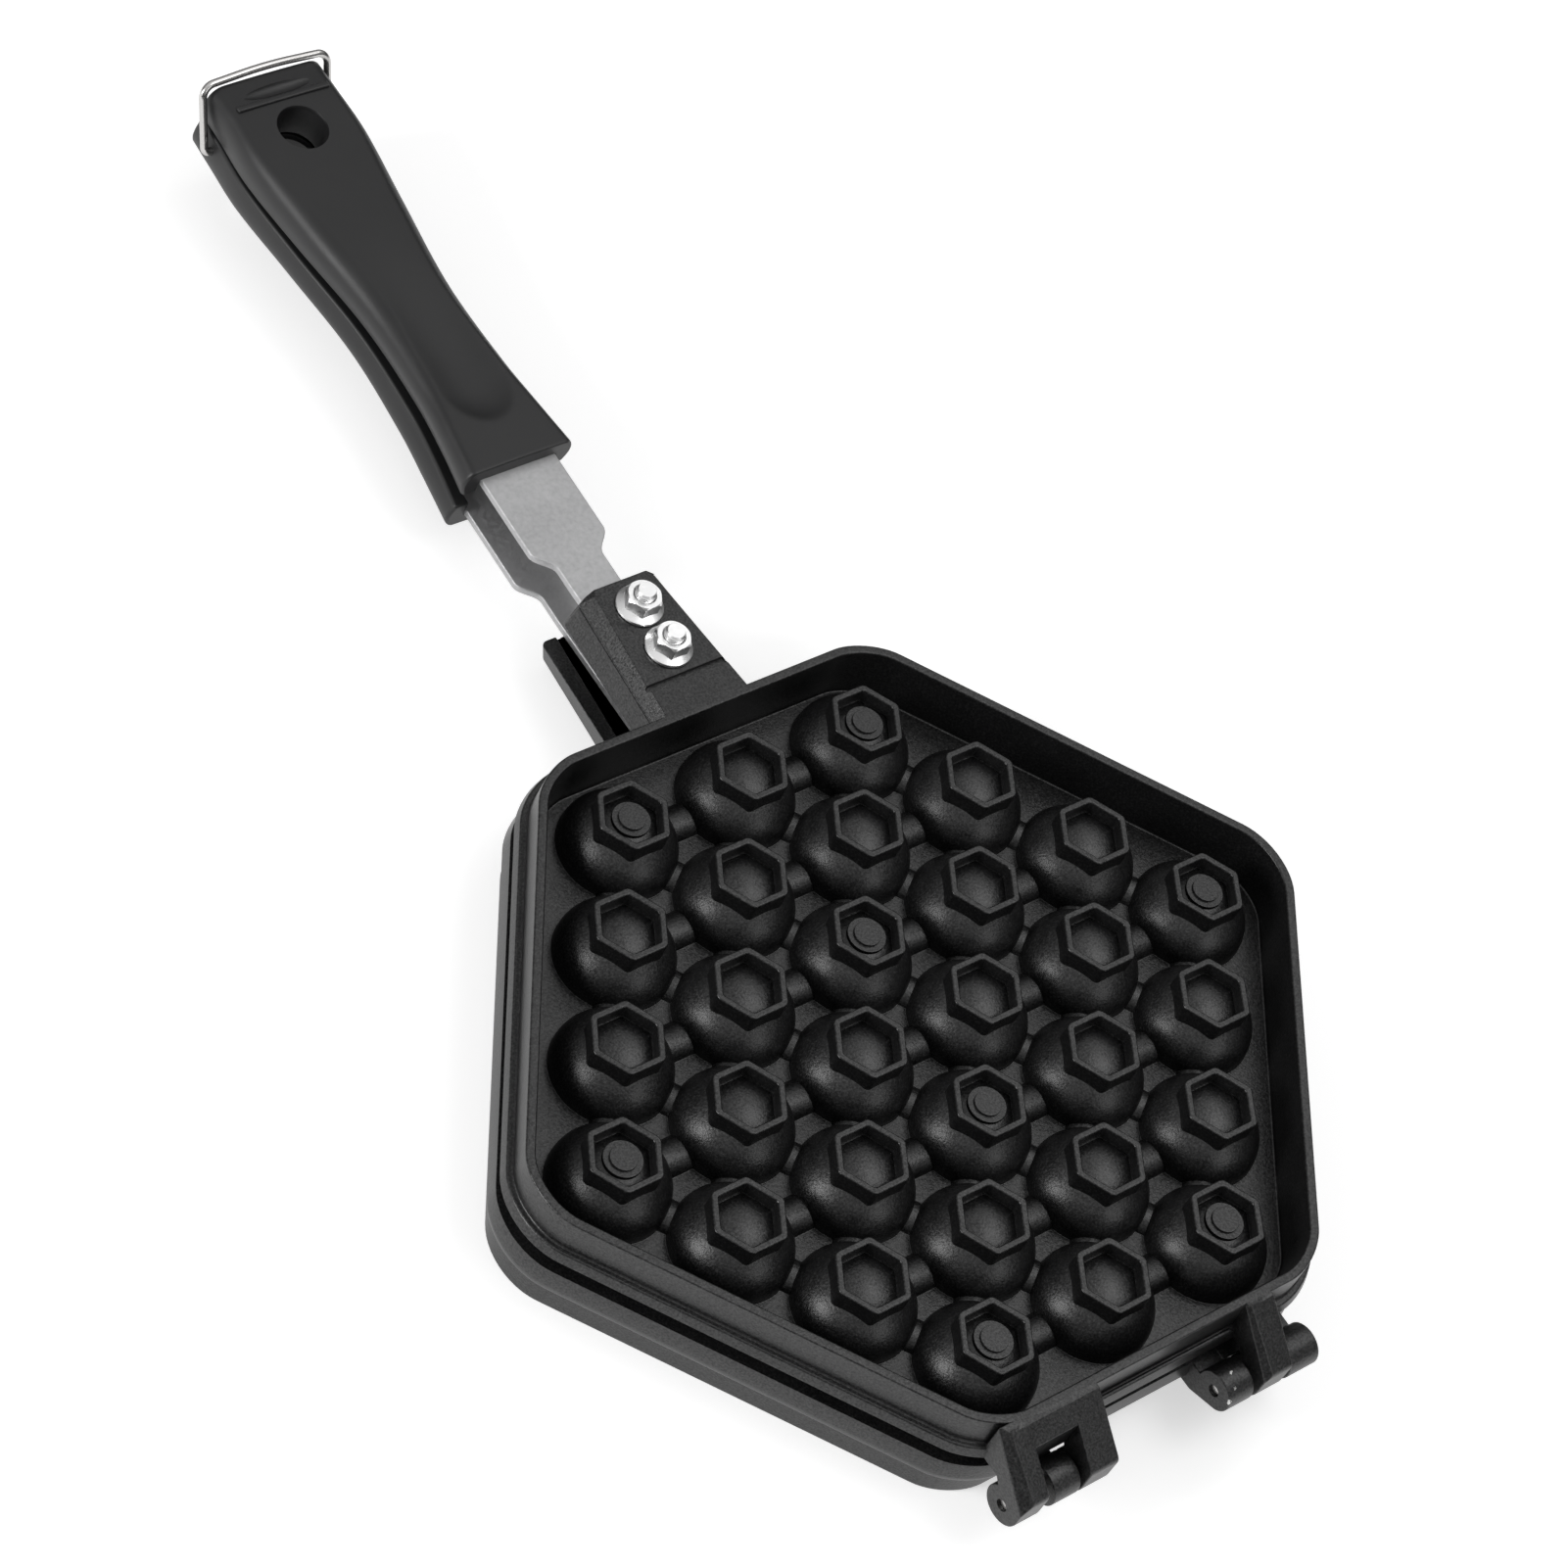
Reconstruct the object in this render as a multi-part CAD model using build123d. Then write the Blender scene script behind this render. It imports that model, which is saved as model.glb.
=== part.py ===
"""Egg waffle pan: two hinged cast aluminium halves with thirty egg cells each, bakelite grips
on steel strips, and a wire bail that holds the grips together.

Millimetres, +Z up. The origin is the centre of the lower rim's resting face, the handle points
to -Y and the hinge lies at +Y. Heights called "above the mid plane" count from the plane where
the two halves meet, and the lower half is built as a mirror image about it.
"""
from build123d import *
import os
from math import atan2, cos, degrees, hypot, radians, sin, tan

os.makedirs("parts", exist_ok=True)

# ---------------------------------------------------------------- cells
half_height = 16.5            # mid plane to the top of one half
closing_gap = 0.2             # between the two mating faces when shut
cell_pitch = 34.0             # cell to cell along a row (X)
row_spacing = 24.0            # row to row (Y)
middle_row_cells = 6
row_count = 7
cavity_radius = 12.4          # each half egg, centred on the mid plane
dome_wall = 1.8
plate_thickness = 2.0
channel_radius = 3.0          # batter channel between neighbouring cavities
bridge_wall = 2.0             # metal over a channel
ring_radius = 9.5             # hexagonal stacking ring on each dome, across its corners / 2
ring_wall = 1.5
ring_foot_height = 6.0        # the ring starts this far above the mid plane, inside the dome
ring_ledge = 0.7              # step inside the ring
ring_ledge_depth = 3.2
ejector_base_radius = 4.6     # moulding marks on eight of the domes
ejector_base_depth = 2.0      # below the ring's top
ejector_radius = 3.2
ejector_depth = 1.4
ejector_foot_height = 11.0
ejector_cells = [(0, 0), (0, 2), (2, 2), (3, 0), (3, 5), (4, 2), (6, 0), (6, 2)]

# ---------------------------------------------------------------- rim
rim_apothem = 91.4            # outer face at the rim's top edge, from the centre
rim_land = 2.3                # flat top of the rim
rim_corner_radius = 18.0
wall_draft = 2.0              # degrees, outside of the wall
pocket_draft = 3.0            # degrees, inside of the wall
flange_step = 1.5             # the flange stands out from the wall by this much
flange_top = 7.8              # above the mid plane
flange_height = 3.0
flange_draft = 15.0           # degrees
upper_foot_inset = 1.2        # the upper half steps in under its flange
lower_lip_top = 0.3           # the lower half's lip ends this far under the mid plane
lower_lip_draft = 9.0         # degrees

# ---------------------------------------------------------------- handle bracket (cast on)
bracket_front = 128.0         # front edge, from the centre
bracket_pad_half = (8.0, 10.0)        # half width at the front and at the rim: top pad
bracket_fold_half = (11.2, 14.0)      # shoulder line
bracket_foot_half = (13.4, 15.3)      # bottom of the side ribs
bracket_fold_depth = 4.0
bracket_corner_radius = 2.5
rib_depth = 1.2               # side ribs reach past the strip's seat
rib_channel_half = (8.7, 11.9)
pad_step = 0.5                # the pad under the nuts is this much lower
pad_step_y = 98.6

# ---------------------------------------------------------------- strips
strip_thickness = 2.0
strip_seat = 7.3              # strip's outer face, above the mid plane
strip_neck_width = 12.9
strip_blade_width = 21.6
strip_inner_end = 96.5        # from the centre, just outside the rim
strip_neck_end = 6.5          # distances along the handle from the bend
strip_blade_start = 13.0
strip_blade_end = 39.0
tang_width = 11.0
tang_start = 43.0
tang_end = 127.0
bend_y = 134.0                # where the strips bend, from the centre
handle_rise = 2.7             # degrees

# ---------------------------------------------------------------- bolts and nuts (M5)
bolt_radius = 2.5
bolt_clearance = 0.2
bolt_ys = (107.4, 119.8)      # from the centre
bolt_end_stand = 1.8          # thread showing past the nut
pan_head_radius = 4.6
pan_head_height = 2.8
sunk_head_radius = 4.8
sunk_head_height = 2.6
nut_flange_radius = 5.9
nut_flange_height = 1.1
nut_across_flats = 8.0
nut_height = 5.0

# ---------------------------------------------------------------- grips
grip_start = 35.0             # distances along the handle from the bend
grip_end = 154.8
grip_edge_height = 10.9       # top edge above the handle's mid plane
grip_tip_edge_height = 9.6
grip_crown = 0.8              # the top face bulges by this much
grip_side_height = 6.2        # widest line of the side
grip_gap_start = 2.4          # inner face above the mid plane, at the pan end
grip_gap_end = 0.25           # and at the tip
# distance along the handle, half width at the top edge, at the widest line, at the inner face
grip_sections = [
    (grip_start, 13.8, 15.8, 15.0),
    (48.0, 12.0, 14.0, 12.8),
    (62.0, 10.1, 12.5, 11.3),
    (86.0, 8.6, 11.9, 11.2),
    (112.0, 11.0, 14.6, 14.4),
    (133.0, 13.8, 16.7, 16.4),
    (147.0, 13.5, 16.2, 15.7),
    (grip_end, 12.6, 15.2, 14.7),
]
pocket_clearance = 0.25
hang_hole_radius = 6.2
hang_hole_at = 137.5
ridge_at = 147.0              # stop ridge for the bail, on the upper grip
ridge_width = 1.7
ridge_height = 0.9
ridge_half_length = 12.0
ridge_root = 3.0              # the ridge's body reaches down into the grip

# ---------------------------------------------------------------- grip screws
screw_ats = (56.0, 106.0)
screw_radius = 1.45
screw_head_radius = 2.8
screw_head_height = 1.8
screw_bite = 2.6              # into the grip past the strip
screw_hole_clearance = 0.15
thread_clearance = 0.02

# ---------------------------------------------------------------- bail
bail_wire_radius = 0.75
bail_half_width = 18.0        # centre line of a leg
bail_pivot_at = 147.5
bail_pivot_drop = 4.0         # under the handle's mid plane
bail_lean = 29.2              # degrees, outwards from square to the handle
bail_leg = 17.5
bail_bow = 1.1                # the top span is bowed by this much
bail_corner_radius = 3.2
bail_foot_radius = 1.5
bail_span_radius = 120.0
bail_end_half = 12.5          # where the turned-in ends stop
bail_hole_clearance = 0.08

# ---------------------------------------------------------------- hinges
hinge_y = 101.2               # pin axis, from the centre, on the mid plane
knuckle_radius = 5.0
pin_radius = 1.5
pin_press_clearance = 0.01
pin_running_clearance = 0.08
pin_recess = 0.8              # the pins end inside the outer faces
arm_tip_height = 5.6          # outer top corner of an upper arm, above the mid plane
arm_tip_reach = 5.4           # past the pin axis
arm_tip_radius = 2.0
lower_arm_depth = 7.7         # lower arms meet the flange this far under the mid plane
lower_arm_knee = 4.6          # the lower arms' knee, this far inside the pin axis
lower_arm_knee_depth = 7.4
window_edge = 96.7            # the slot of the upper clevis starts here
upper_clevis = [(20.0, 28.0), (40.0, 47.0)]
lower_tongue = (28.7, 36.2)
upper_tongue = (-31.7, -24.0)
lower_clevis = [(-42.5, -33.5), (-22.5, -15.0)]

# ---------------------------------------------------------------- derived
lift = Pos(0, 0, half_height)
handle = Plane(
    origin=(0, -bend_y, half_height),
    x_dir=(1, 0, 0),
    z_dir=(0, sin(radians(handle_rise)), cos(radians(handle_rise))),
).location
dome_radius = cavity_radius + dome_wall
mating = closing_gap / 2
plate_top = mating + plate_thickness
slant = atan2(cell_pitch / 2, row_spacing)      # the slanted sides follow the cells' diagonals
pad_level = half_height - pad_step
far = 400.0


def cell_centres():
    """(row, index) -> centre of every cell; row 0 is nearest the handle, index 0 at +X."""
    centres = {}
    for row in range(row_count):
        offset = row - (row_count - 1) // 2
        cells = middle_row_cells - abs(offset)
        for index in range(cells):
            x = ((cells - 1) / 2 - index) * cell_pitch
            centres[row, index] = (x, offset * row_spacing)
    return centres


def neighbour_pairs(centres):
    """Every pair of cells that lie side by side in a row or diagonally in the next row."""
    diagonal = hypot(cell_pitch / 2, row_spacing)
    reach = max(cell_pitch, diagonal) * 1.02
    spots = list(centres.values())
    pairs = []
    for i, a in enumerate(spots):
        for b in spots[i + 1:]:
            if hypot(a[0] - b[0], a[1] - b[1]) < reach:
                pairs.append((a, b))
    return pairs


def rim_outline(apothem):
    """Plan of the six-sided rim, with the corners rounded about the same centres."""
    corner_x = apothem * (1 - sin(slant)) / cos(slant)
    point_x = apothem / cos(slant)
    corners = [
        (corner_x, apothem), (-corner_x, apothem), (-point_x, 0),
        (-corner_x, -apothem), (corner_x, -apothem), (point_x, 0),
    ]
    outline = make_face(Polyline(*corners, close=True))
    return fillet(outline.vertices(), rim_corner_radius + apothem - rim_apothem)


def rim_band(apothem, low, high, draft=0.0):
    """A slab of the rim's plan from one height to another, narrowing upwards by the draft."""
    return Pos(0, 0, low) * extrude(rim_outline(apothem), high - low, taper=draft)


def narrowed(height, draft):
    return height * tan(radians(draft))


pocket_foot = rim_apothem - rim_land - narrowed(half_height - plate_top, pocket_draft)
wall_foot = rim_apothem + narrowed(half_height - flange_top, wall_draft)
flange_foot = wall_foot + flange_step + narrowed(flange_height, flange_draft)
flange_bottom = flange_top - flange_height


def rim_body(is_lower):
    """Outside shape of one half's rim, filled in, above the mid plane."""
    wall = rim_band(wall_foot, flange_top, half_height, wall_draft)
    flange = rim_band(flange_foot, flange_bottom, flange_top, flange_draft)
    if is_lower:
        lip_height = flange_bottom - lower_lip_top
        lip_edge = flange_foot - narrowed(lip_height, lower_lip_draft)
        foot = rim_band(lip_edge, lower_lip_top, flange_bottom, -lower_lip_draft)
        step = rim_band(wall_foot - upper_foot_inset, mating, lower_lip_top)
        return wall + flange + foot + step
    foot = rim_band(wall_foot - upper_foot_inset, mating, flange_bottom)
    return wall + flange + foot


def make_rim(body):
    pocket = rim_band(pocket_foot, plate_top, half_height, -pocket_draft)
    return body - pocket - rim_band(pocket_foot, mating, plate_top)


def hexagon(radius, low, high):
    outline = RegularPolygon(radius, 6, rotation=0)
    return Pos(0, 0, low) * extrude(outline, high - low)


def stacking_ring():
    """Hexagonal ring on a dome, with a small ledge inside, at the origin."""
    inner = ring_radius - ring_wall / cos(radians(30))
    ledge = half_height - ring_ledge_depth
    ring = hexagon(ring_radius, ring_foot_height, half_height)
    ring -= hexagon(inner, ledge, half_height)
    return ring - hexagon(inner - ring_ledge, ring_foot_height, ledge)


def ejector_mark():
    base_top = half_height - ejector_base_depth
    pin_top = half_height - ejector_depth
    base = extrude(Circle(ejector_base_radius), base_top - ejector_foot_height)
    pin = extrude(Circle(ejector_radius), pin_top - ejector_foot_height)
    return Pos(0, 0, ejector_foot_height) * (base + pin)


def bar_between(a, b, radius):
    """Round bar on the mid plane from one cell's centre to another's."""
    heading = degrees(atan2(b[1] - a[1], b[0] - a[0]))
    length = hypot(b[0] - a[0], b[1] - a[1])
    middle = Pos((a[0] + b[0]) / 2, (a[1] + b[1]) / 2, 0)
    return middle * Rot(0, 0, heading) * Rot(0, 90, 0) * Cylinder(radius, length)


def make_cell_plate():
    """Plate with thirty domes, their rings and bridges, above the mid plane, in one solid."""
    centres = cell_centres()
    pairs = neighbour_pairs(centres)
    ring = stacking_ring()
    mark = ejector_mark()
    solids = [rim_band(pocket_foot, mating, plate_top)]
    hollows = []
    for cell, (x, y) in centres.items():
        solids.append(Pos(x, y, 0) * Sphere(dome_radius))
        solids.append(Pos(x, y, 0) * ring)
        if cell in ejector_cells:
            solids.append(Pos(x, y, 0) * mark)
        hollows.append(Pos(x, y, 0) * Sphere(cavity_radius))
    for a, b in pairs:
        solids.append(bar_between(a, b, channel_radius + bridge_wall))
        hollows.append(bar_between(a, b, channel_radius))
    upward = (Align.CENTER, Align.CENTER, Align.MIN)
    above = Pos(0, 0, mating) * Box(far, far, half_height - mating, align=upward)
    plate = solids[0].fuse(*solids[1:])
    return (plate & above).cut(*hollows)


def row_edge(row):
    """Zigzag across the plate, midway between the cells of one row and those of the next."""
    offset = row - (row_count - 1) // 2
    cells = middle_row_cells - abs(offset)
    near = (row_spacing ** 2 - (cell_pitch / 2) ** 2) / (2 * row_spacing)
    points = []
    for half_step in range(-2 * middle_row_cells, 2 * middle_row_cells + 1):
        at_cell = (half_step + cells) % 2 == 1
        rise = row_spacing - near if at_cell else near
        points.append((half_step * cell_pitch / 2, offset * row_spacing + rise))
    return points


def make_cell_rows(plate):
    """The plate cut into its rows of cells, which meet face to face along the zigzags."""
    ends = middle_row_cells * cell_pitch
    before = [(-ends, -far), (ends, -far)]
    rows = []
    for row in range(row_count):
        last = row == row_count - 1
        after = [(-ends, far), (ends, far)] if last else row_edge(row)
        band = make_face(Polyline(*before, *reversed(after), close=True))
        rows.append(plate & extrude(band, half_height))
        before = after
    return rows


def bracket_section(y, end):
    """Section of the handle bracket across the handle: end 0 is the front, end 1 the rim."""
    foot = strip_seat - rib_depth
    fold = half_height - bracket_fold_depth
    right = [
        (bracket_foot_half[end], foot), (bracket_fold_half[end], fold),
        (bracket_pad_half[end], half_height),
    ]
    left = [(-x, z) for x, z in reversed(right)]
    face = make_face(Polyline(*right, *left, close=True))
    return Plane(origin=(0, -y, 0), x_dir=(1, 0, 0), z_dir=(0, -1, 0)).location * face


def make_bracket(body):
    """Bracket above the mid plane, cut off where it meets the rim."""
    inner = pocket_foot
    block = loft([bracket_section(bracket_front, 0), bracket_section(inner, 1)])
    channel = Polyline(
        (rib_channel_half[0], -bracket_front - 1), (rib_channel_half[1], -inner),
        (-rib_channel_half[1], -inner), (-rib_channel_half[0], -bracket_front - 1), close=True,
    )
    block -= extrude(make_face(channel), strip_seat)
    plan = make_face(Polyline(
        (bracket_foot_half[0], -bracket_front), (bracket_foot_half[1], -inner),
        (-bracket_foot_half[1], -inner), (-bracket_foot_half[0], -bracket_front), close=True,
    ))
    plan = fillet(plan.vertices().sort_by(Axis.Y)[:2], bracket_corner_radius)
    block &= extrude(plan, half_height)
    step_length = bracket_front - pad_step_y
    step = Pos(0, -pad_step_y - step_length / 2, half_height - pad_step / 2)
    block -= step * Box(far, step_length, pad_step)
    for y in bolt_ys:
        hole = Cylinder(bolt_radius + bolt_clearance, 2 * half_height)
        block -= Pos(0, -y, half_height) * hole
    return block - body


def arm_profile_upper(inner_y):
    """Side view of an upper hinge arm, from the rim out and round the pin, as a face in YZ."""
    tip = hinge_y + arm_tip_reach
    outline = make_face(Polyline(
        (inner_y, flange_bottom), (inner_y, half_height), (rim_apothem + 1, half_height),
        (tip, arm_tip_height), (hinge_y + knuckle_radius, 0), (hinge_y, 0),
        (hinge_y - knuckle_radius, flange_bottom), close=True,
    ))
    corner = outline.vertices().sort_by_distance((tip, arm_tip_height, 0))[0]
    outline = fillet(corner, arm_tip_radius)
    return outline + Pos(hinge_y, 0) * Circle(knuckle_radius)


def arm_profile_lower(inner_y):
    """Side view of a lower hinge arm, mirrored so that down is up."""
    knee = hinge_y - lower_arm_knee
    outline = make_face(Polyline(
        (inner_y, lower_lip_top), (inner_y, lower_arm_depth), (knee, lower_arm_knee_depth),
        (hinge_y + knuckle_radius * cos(radians(55)), knuckle_radius * sin(radians(55))),
        (hinge_y, 0), (hinge_y - knuckle_radius, lower_lip_top), close=True,
    ))
    return outline + Pos(hinge_y, 0) * Circle(knuckle_radius)


def hinge_arm(profile, span, bore):
    """Extrude an arm's side view over its span along the pin, and bore it."""
    side = Plane(origin=(span[0], 0, 0), x_dir=(0, 1, 0), z_dir=(1, 0, 0)).location
    arm = side * extrude(profile, span[1] - span[0])
    middle = Pos((span[0] + span[1]) / 2, hinge_y, 0)
    return arm - middle * Rot(0, 90, 0) * Cylinder(bore, 2 * (span[1] - span[0]))


def make_clevis(profile, spans, body, web_edge=None):
    """Two bored arms; a web joins them up to web_edge where the casting fills the slot."""
    arms = [hinge_arm(profile, span, pin_radius + pin_press_clearance) for span in spans]
    clevis = arms[0] + arms[1]
    if web_edge is not None:
        whole = hinge_arm(profile, (spans[0][0], spans[1][1]), pin_radius + pin_press_clearance)
        above_flange = (Align.CENTER, Align.MAX, Align.MIN)
        near = Pos(0, web_edge, flange_bottom) * Box(far, far, far, align=above_flange)
        clevis += whole & near
    return clevis - body


def make_pin(spans):
    low = spans[0][0] + pin_recess
    high = spans[1][1] - pin_recess
    return Pos((low + high) / 2, hinge_y, half_height) * Rot(0, 90, 0) * Cylinder(pin_radius, high - low)


def strip_blade_outline(grow=0.0, reach=0.0):
    """Plan of the part of a strip beyond the bend: X across, -Y along the handle."""
    neck = strip_neck_width / 2 + grow
    blade = strip_blade_width / 2 + grow
    tang = tang_width / 2 + grow
    start = -reach
    end = tang_end + grow
    side = Polyline((0, -start), (neck, -start), (neck, -strip_neck_end))
    shoulder = Spline(
        (neck, -strip_neck_end), (blade, -strip_blade_start), tangents=((0, -1), (0, -1)),
    )
    rest = Polyline(
        (blade, -strip_blade_start), (blade, -strip_blade_end), (tang, -tang_start), (tang, -end), (0, -end),
    )
    half = side + shoulder + rest
    return make_face(half + mirror(half, about=Plane.YZ))


def make_strip(side):
    """Bent steel strip; side is 1 for the upper half, -1 for the lower."""
    low = strip_seat - strip_thickness
    flat_length = bend_y - strip_inner_end
    flat_plan = Pos(0, -bend_y + flat_length / 2) * Rectangle(strip_neck_width, flat_length)
    flat = Pos(0, 0, low) * extrude(flat_plan, strip_thickness)
    blade = Pos(0, 0, low) * extrude(strip_blade_outline(reach=0.5), strip_thickness)
    for at in screw_ats:
        blade -= Pos(0, -at, strip_seat) * Cylinder(screw_radius + screw_hole_clearance, 3 * strip_thickness)
    for y in bolt_ys:
        flat -= Pos(0, -y, strip_seat) * Cylinder(bolt_radius + bolt_clearance, 3 * strip_thickness)
    if side < 0:
        flat = mirror(flat, about=Plane.XY)
        blade = mirror(blade, about=Plane.XY)
    return lift * flat + handle * blade


def grip_gap(at):
    share = (at - grip_start) / (grip_end - grip_start)
    return grip_gap_start + (grip_gap_end - grip_gap_start) * share


def grip_edge(at):
    """Height of the grip's top edge, which drops from the ridge to the tip."""
    if at <= ridge_at:
        return grip_edge_height
    share = (at - ridge_at) / (grip_end - ridge_at)
    return grip_edge_height + (grip_tip_edge_height - grip_edge_height) * share


def grip_section(at, top_half, side_half, foot_half):
    """Section across a grip: flat inner face, bulging sides, crowned top."""
    low = grip_gap(at)
    high = grip_edge(at)
    foot = Line((-foot_half, low), (foot_half, low))
    right = Spline((foot_half, low), (side_half, grip_side_height), (top_half, high))
    top = ThreePointArc((top_half, high), (0, high + grip_crown), (-top_half, high))
    left = Spline((-top_half, high), (-side_half, grip_side_height), (-foot_half, low))
    face = make_face(foot + right + top + left)
    return Plane(origin=(0, -at, 0), x_dir=(1, 0, 0), z_dir=(0, -1, 0)).location * face


def make_grip(is_upper):
    """One grip in the handle's own frame, above its mid plane."""
    grip = loft([grip_section(*section) for section in grip_sections])
    pocket = extrude(strip_blade_outline(grow=pocket_clearance), strip_seat + 1)
    grip -= Pos(0, 0, -1) * pocket
    grip -= Pos(0, -hang_hole_at, 0) * Cylinder(hang_hole_radius, far / 4)
    for at in screw_ats:
        pilot = extrude(Circle(screw_radius + thread_clearance), screw_bite + screw_hole_clearance)
        grip -= Pos(0, -at, strip_seat) * pilot
    if is_upper:
        top = grip_edge_height + ridge_height
        ridge = Box(2 * ridge_half_length, ridge_width, ridge_height + ridge_root)
        return grip + Pos(0, -ridge_at, top - (ridge_height + ridge_root) / 2) * ridge
    for sign in (-1, 1):
        eye = Cylinder(bail_wire_radius + bail_hole_clearance, 2 * (bail_half_width - bail_end_half) + 1)
        grip -= Pos(sign * bail_half_width, -bail_pivot_at, bail_pivot_drop) * Rot(0, 90, 0) * eye
    return grip


def make_bail():
    """Bent wire: turned-in ends, two legs and a bowed top span, leaning outwards."""
    path = FilletPolyline(
        (bail_end_half, 0), (bail_half_width, 0), (bail_half_width, bail_leg),
        (0, bail_leg + bail_bow), (-bail_half_width, bail_leg), (-bail_half_width, 0),
        (-bail_end_half, 0),
        radius=[bail_foot_radius, bail_corner_radius, bail_span_radius, bail_corner_radius, bail_foot_radius],
    )
    lean = radians(bail_lean)
    plane = Plane(
        origin=(0, -bail_pivot_at, -bail_pivot_drop), x_dir=(1, 0, 0), z_dir=(0, -cos(lean), -sin(lean)))
    start = Plane(origin=(bail_end_half, 0, 0), z_dir=(1, 0, 0)).location * Circle(bail_wire_radius)
    return plane.location * sweep(start, path=path)


def make_screws():
    """Two self-tapping screws from the inner side through the tang into the grip."""
    screws = []
    under_head = strip_seat - strip_thickness
    for at in screw_ats:
        head = Pos(0, 0, -screw_head_height) * extrude(Circle(screw_head_radius), screw_head_height)
        shank = extrude(Circle(screw_radius), strip_thickness + screw_bite)
        screws.append(Pos(0, -at, under_head) * (head + shank))
    return screws


def flange_nut():
    """Flange nut standing on the plane z = 0."""
    flange = extrude(Circle(nut_flange_radius), nut_flange_height)
    body = extrude(RegularPolygon(nut_across_flats / 2, 6, major_radius=False), nut_height)
    crown = Pos(0, 0, nut_height / 2) * Cone(nut_flange_radius, nut_across_flats / 2, nut_height)
    return flange + (body & crown) - Cylinder(bolt_radius + thread_clearance, 4 * nut_height)


def make_upper_bolts():
    """Pan-head bolts up through the strip and the bracket."""
    head_face = strip_seat - strip_thickness
    end = pad_level + nut_height + bolt_end_stand
    head = Pos(0, 0, head_face - pan_head_height) * extrude(Circle(pan_head_radius), pan_head_height)
    shank = Pos(0, 0, head_face) * extrude(Circle(bolt_radius), end - head_face)
    return [lift * Pos(0, -y, 0) * (head + shank) for y in bolt_ys]


def make_upper_nuts():
    return [lift * Pos(0, -y, pad_level) * flange_nut() for y in bolt_ys]


def sunk_head():
    """Countersunk head whose flat face is z = 0 and whose cone points to -Z."""
    cone = Cone(bolt_radius, sunk_head_radius, sunk_head_height)
    return Pos(0, 0, -sunk_head_height / 2) * cone


def make_lower_bolts():
    """Countersunk bolts from below, flush with the bracket's pad, mirrored so that down is up."""
    end = strip_seat - strip_thickness - nut_height - bolt_end_stand
    shank = Pos(0, 0, end) * extrude(Circle(bolt_radius), pad_level - end)
    bolt = shank + Pos(0, 0, pad_level) * sunk_head()
    return [lift * mirror(Pos(0, -y, 0) * bolt, about=Plane.XY) for y in bolt_ys]


def make_lower_nuts():
    nut = Pos(0, 0, -(strip_seat - strip_thickness)) * flange_nut()
    return [lift * Pos(0, -y, 0) * nut for y in bolt_ys]


def write(node, *solids):
    shape = solids[0] if len(solids) == 1 else Compound(children=list(solids))
    shape.label = node
    export_step(shape, f"parts/{node}.step")


def flipped(shape):
    return lift * mirror(shape, about=Plane.XY)


# ---------------------------------------------------------------- build
for number, cell_row in enumerate(make_cell_rows(make_cell_plate()), start=1):
    write(f"upper_cell_row_{number}", lift * cell_row)
    write(f"lower_cell_row_{number}", flipped(cell_row))

upper_body = rim_body(is_lower=False)
lower_body = rim_body(is_lower=True)
write("upper_rim", lift * make_rim(upper_body))
write("lower_rim", flipped(make_rim(lower_body)))

lower_bracket = make_bracket(lower_body)
for y in bolt_ys:
    lower_bracket -= Pos(0, -y, pad_level) * sunk_head()
write("upper_handle_bracket", lift * make_bracket(upper_body))
write("lower_handle_bracket", flipped(lower_bracket))

upper_arm = arm_profile_upper(pocket_foot)
lower_arm = arm_profile_lower(pocket_foot)
running_bore = pin_radius + pin_running_clearance
write("upper_hinge_clevis", lift * make_clevis(upper_arm, upper_clevis, upper_body, window_edge))
write("upper_hinge_tongue", lift * (hinge_arm(upper_arm, upper_tongue, running_bore) - upper_body))
write("lower_hinge_clevis", flipped(make_clevis(lower_arm, lower_clevis, lower_body)))
write("lower_hinge_tongue", flipped(hinge_arm(lower_arm, lower_tongue, running_bore) - lower_body))
write("upper_hinge_pin", make_pin(upper_clevis))
write("lower_hinge_pin", make_pin(lower_clevis))

write("upper_strip", make_strip(1))
write("lower_strip", make_strip(-1))
write("upper_bolts", *make_upper_bolts())
write("lower_bolts", *make_lower_bolts())
write("upper_flange_nuts", *make_upper_nuts())
write("lower_flange_nuts", *make_lower_nuts())

write("upper_grip", handle * make_grip(is_upper=True))
write("lower_grip", handle * mirror(make_grip(is_upper=False), about=Plane.XY))
write("upper_grip_screws", *[handle * screw for screw in make_screws()])
write("lower_grip_screws", *[handle * mirror(screw, about=Plane.XY) for screw in make_screws()])
write("bail", handle * make_bail())
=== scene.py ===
import bpy
from math import atan2, cos, hypot, pi, radians, sin, sqrt, tan
from mathutils import Matrix, Vector


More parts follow.
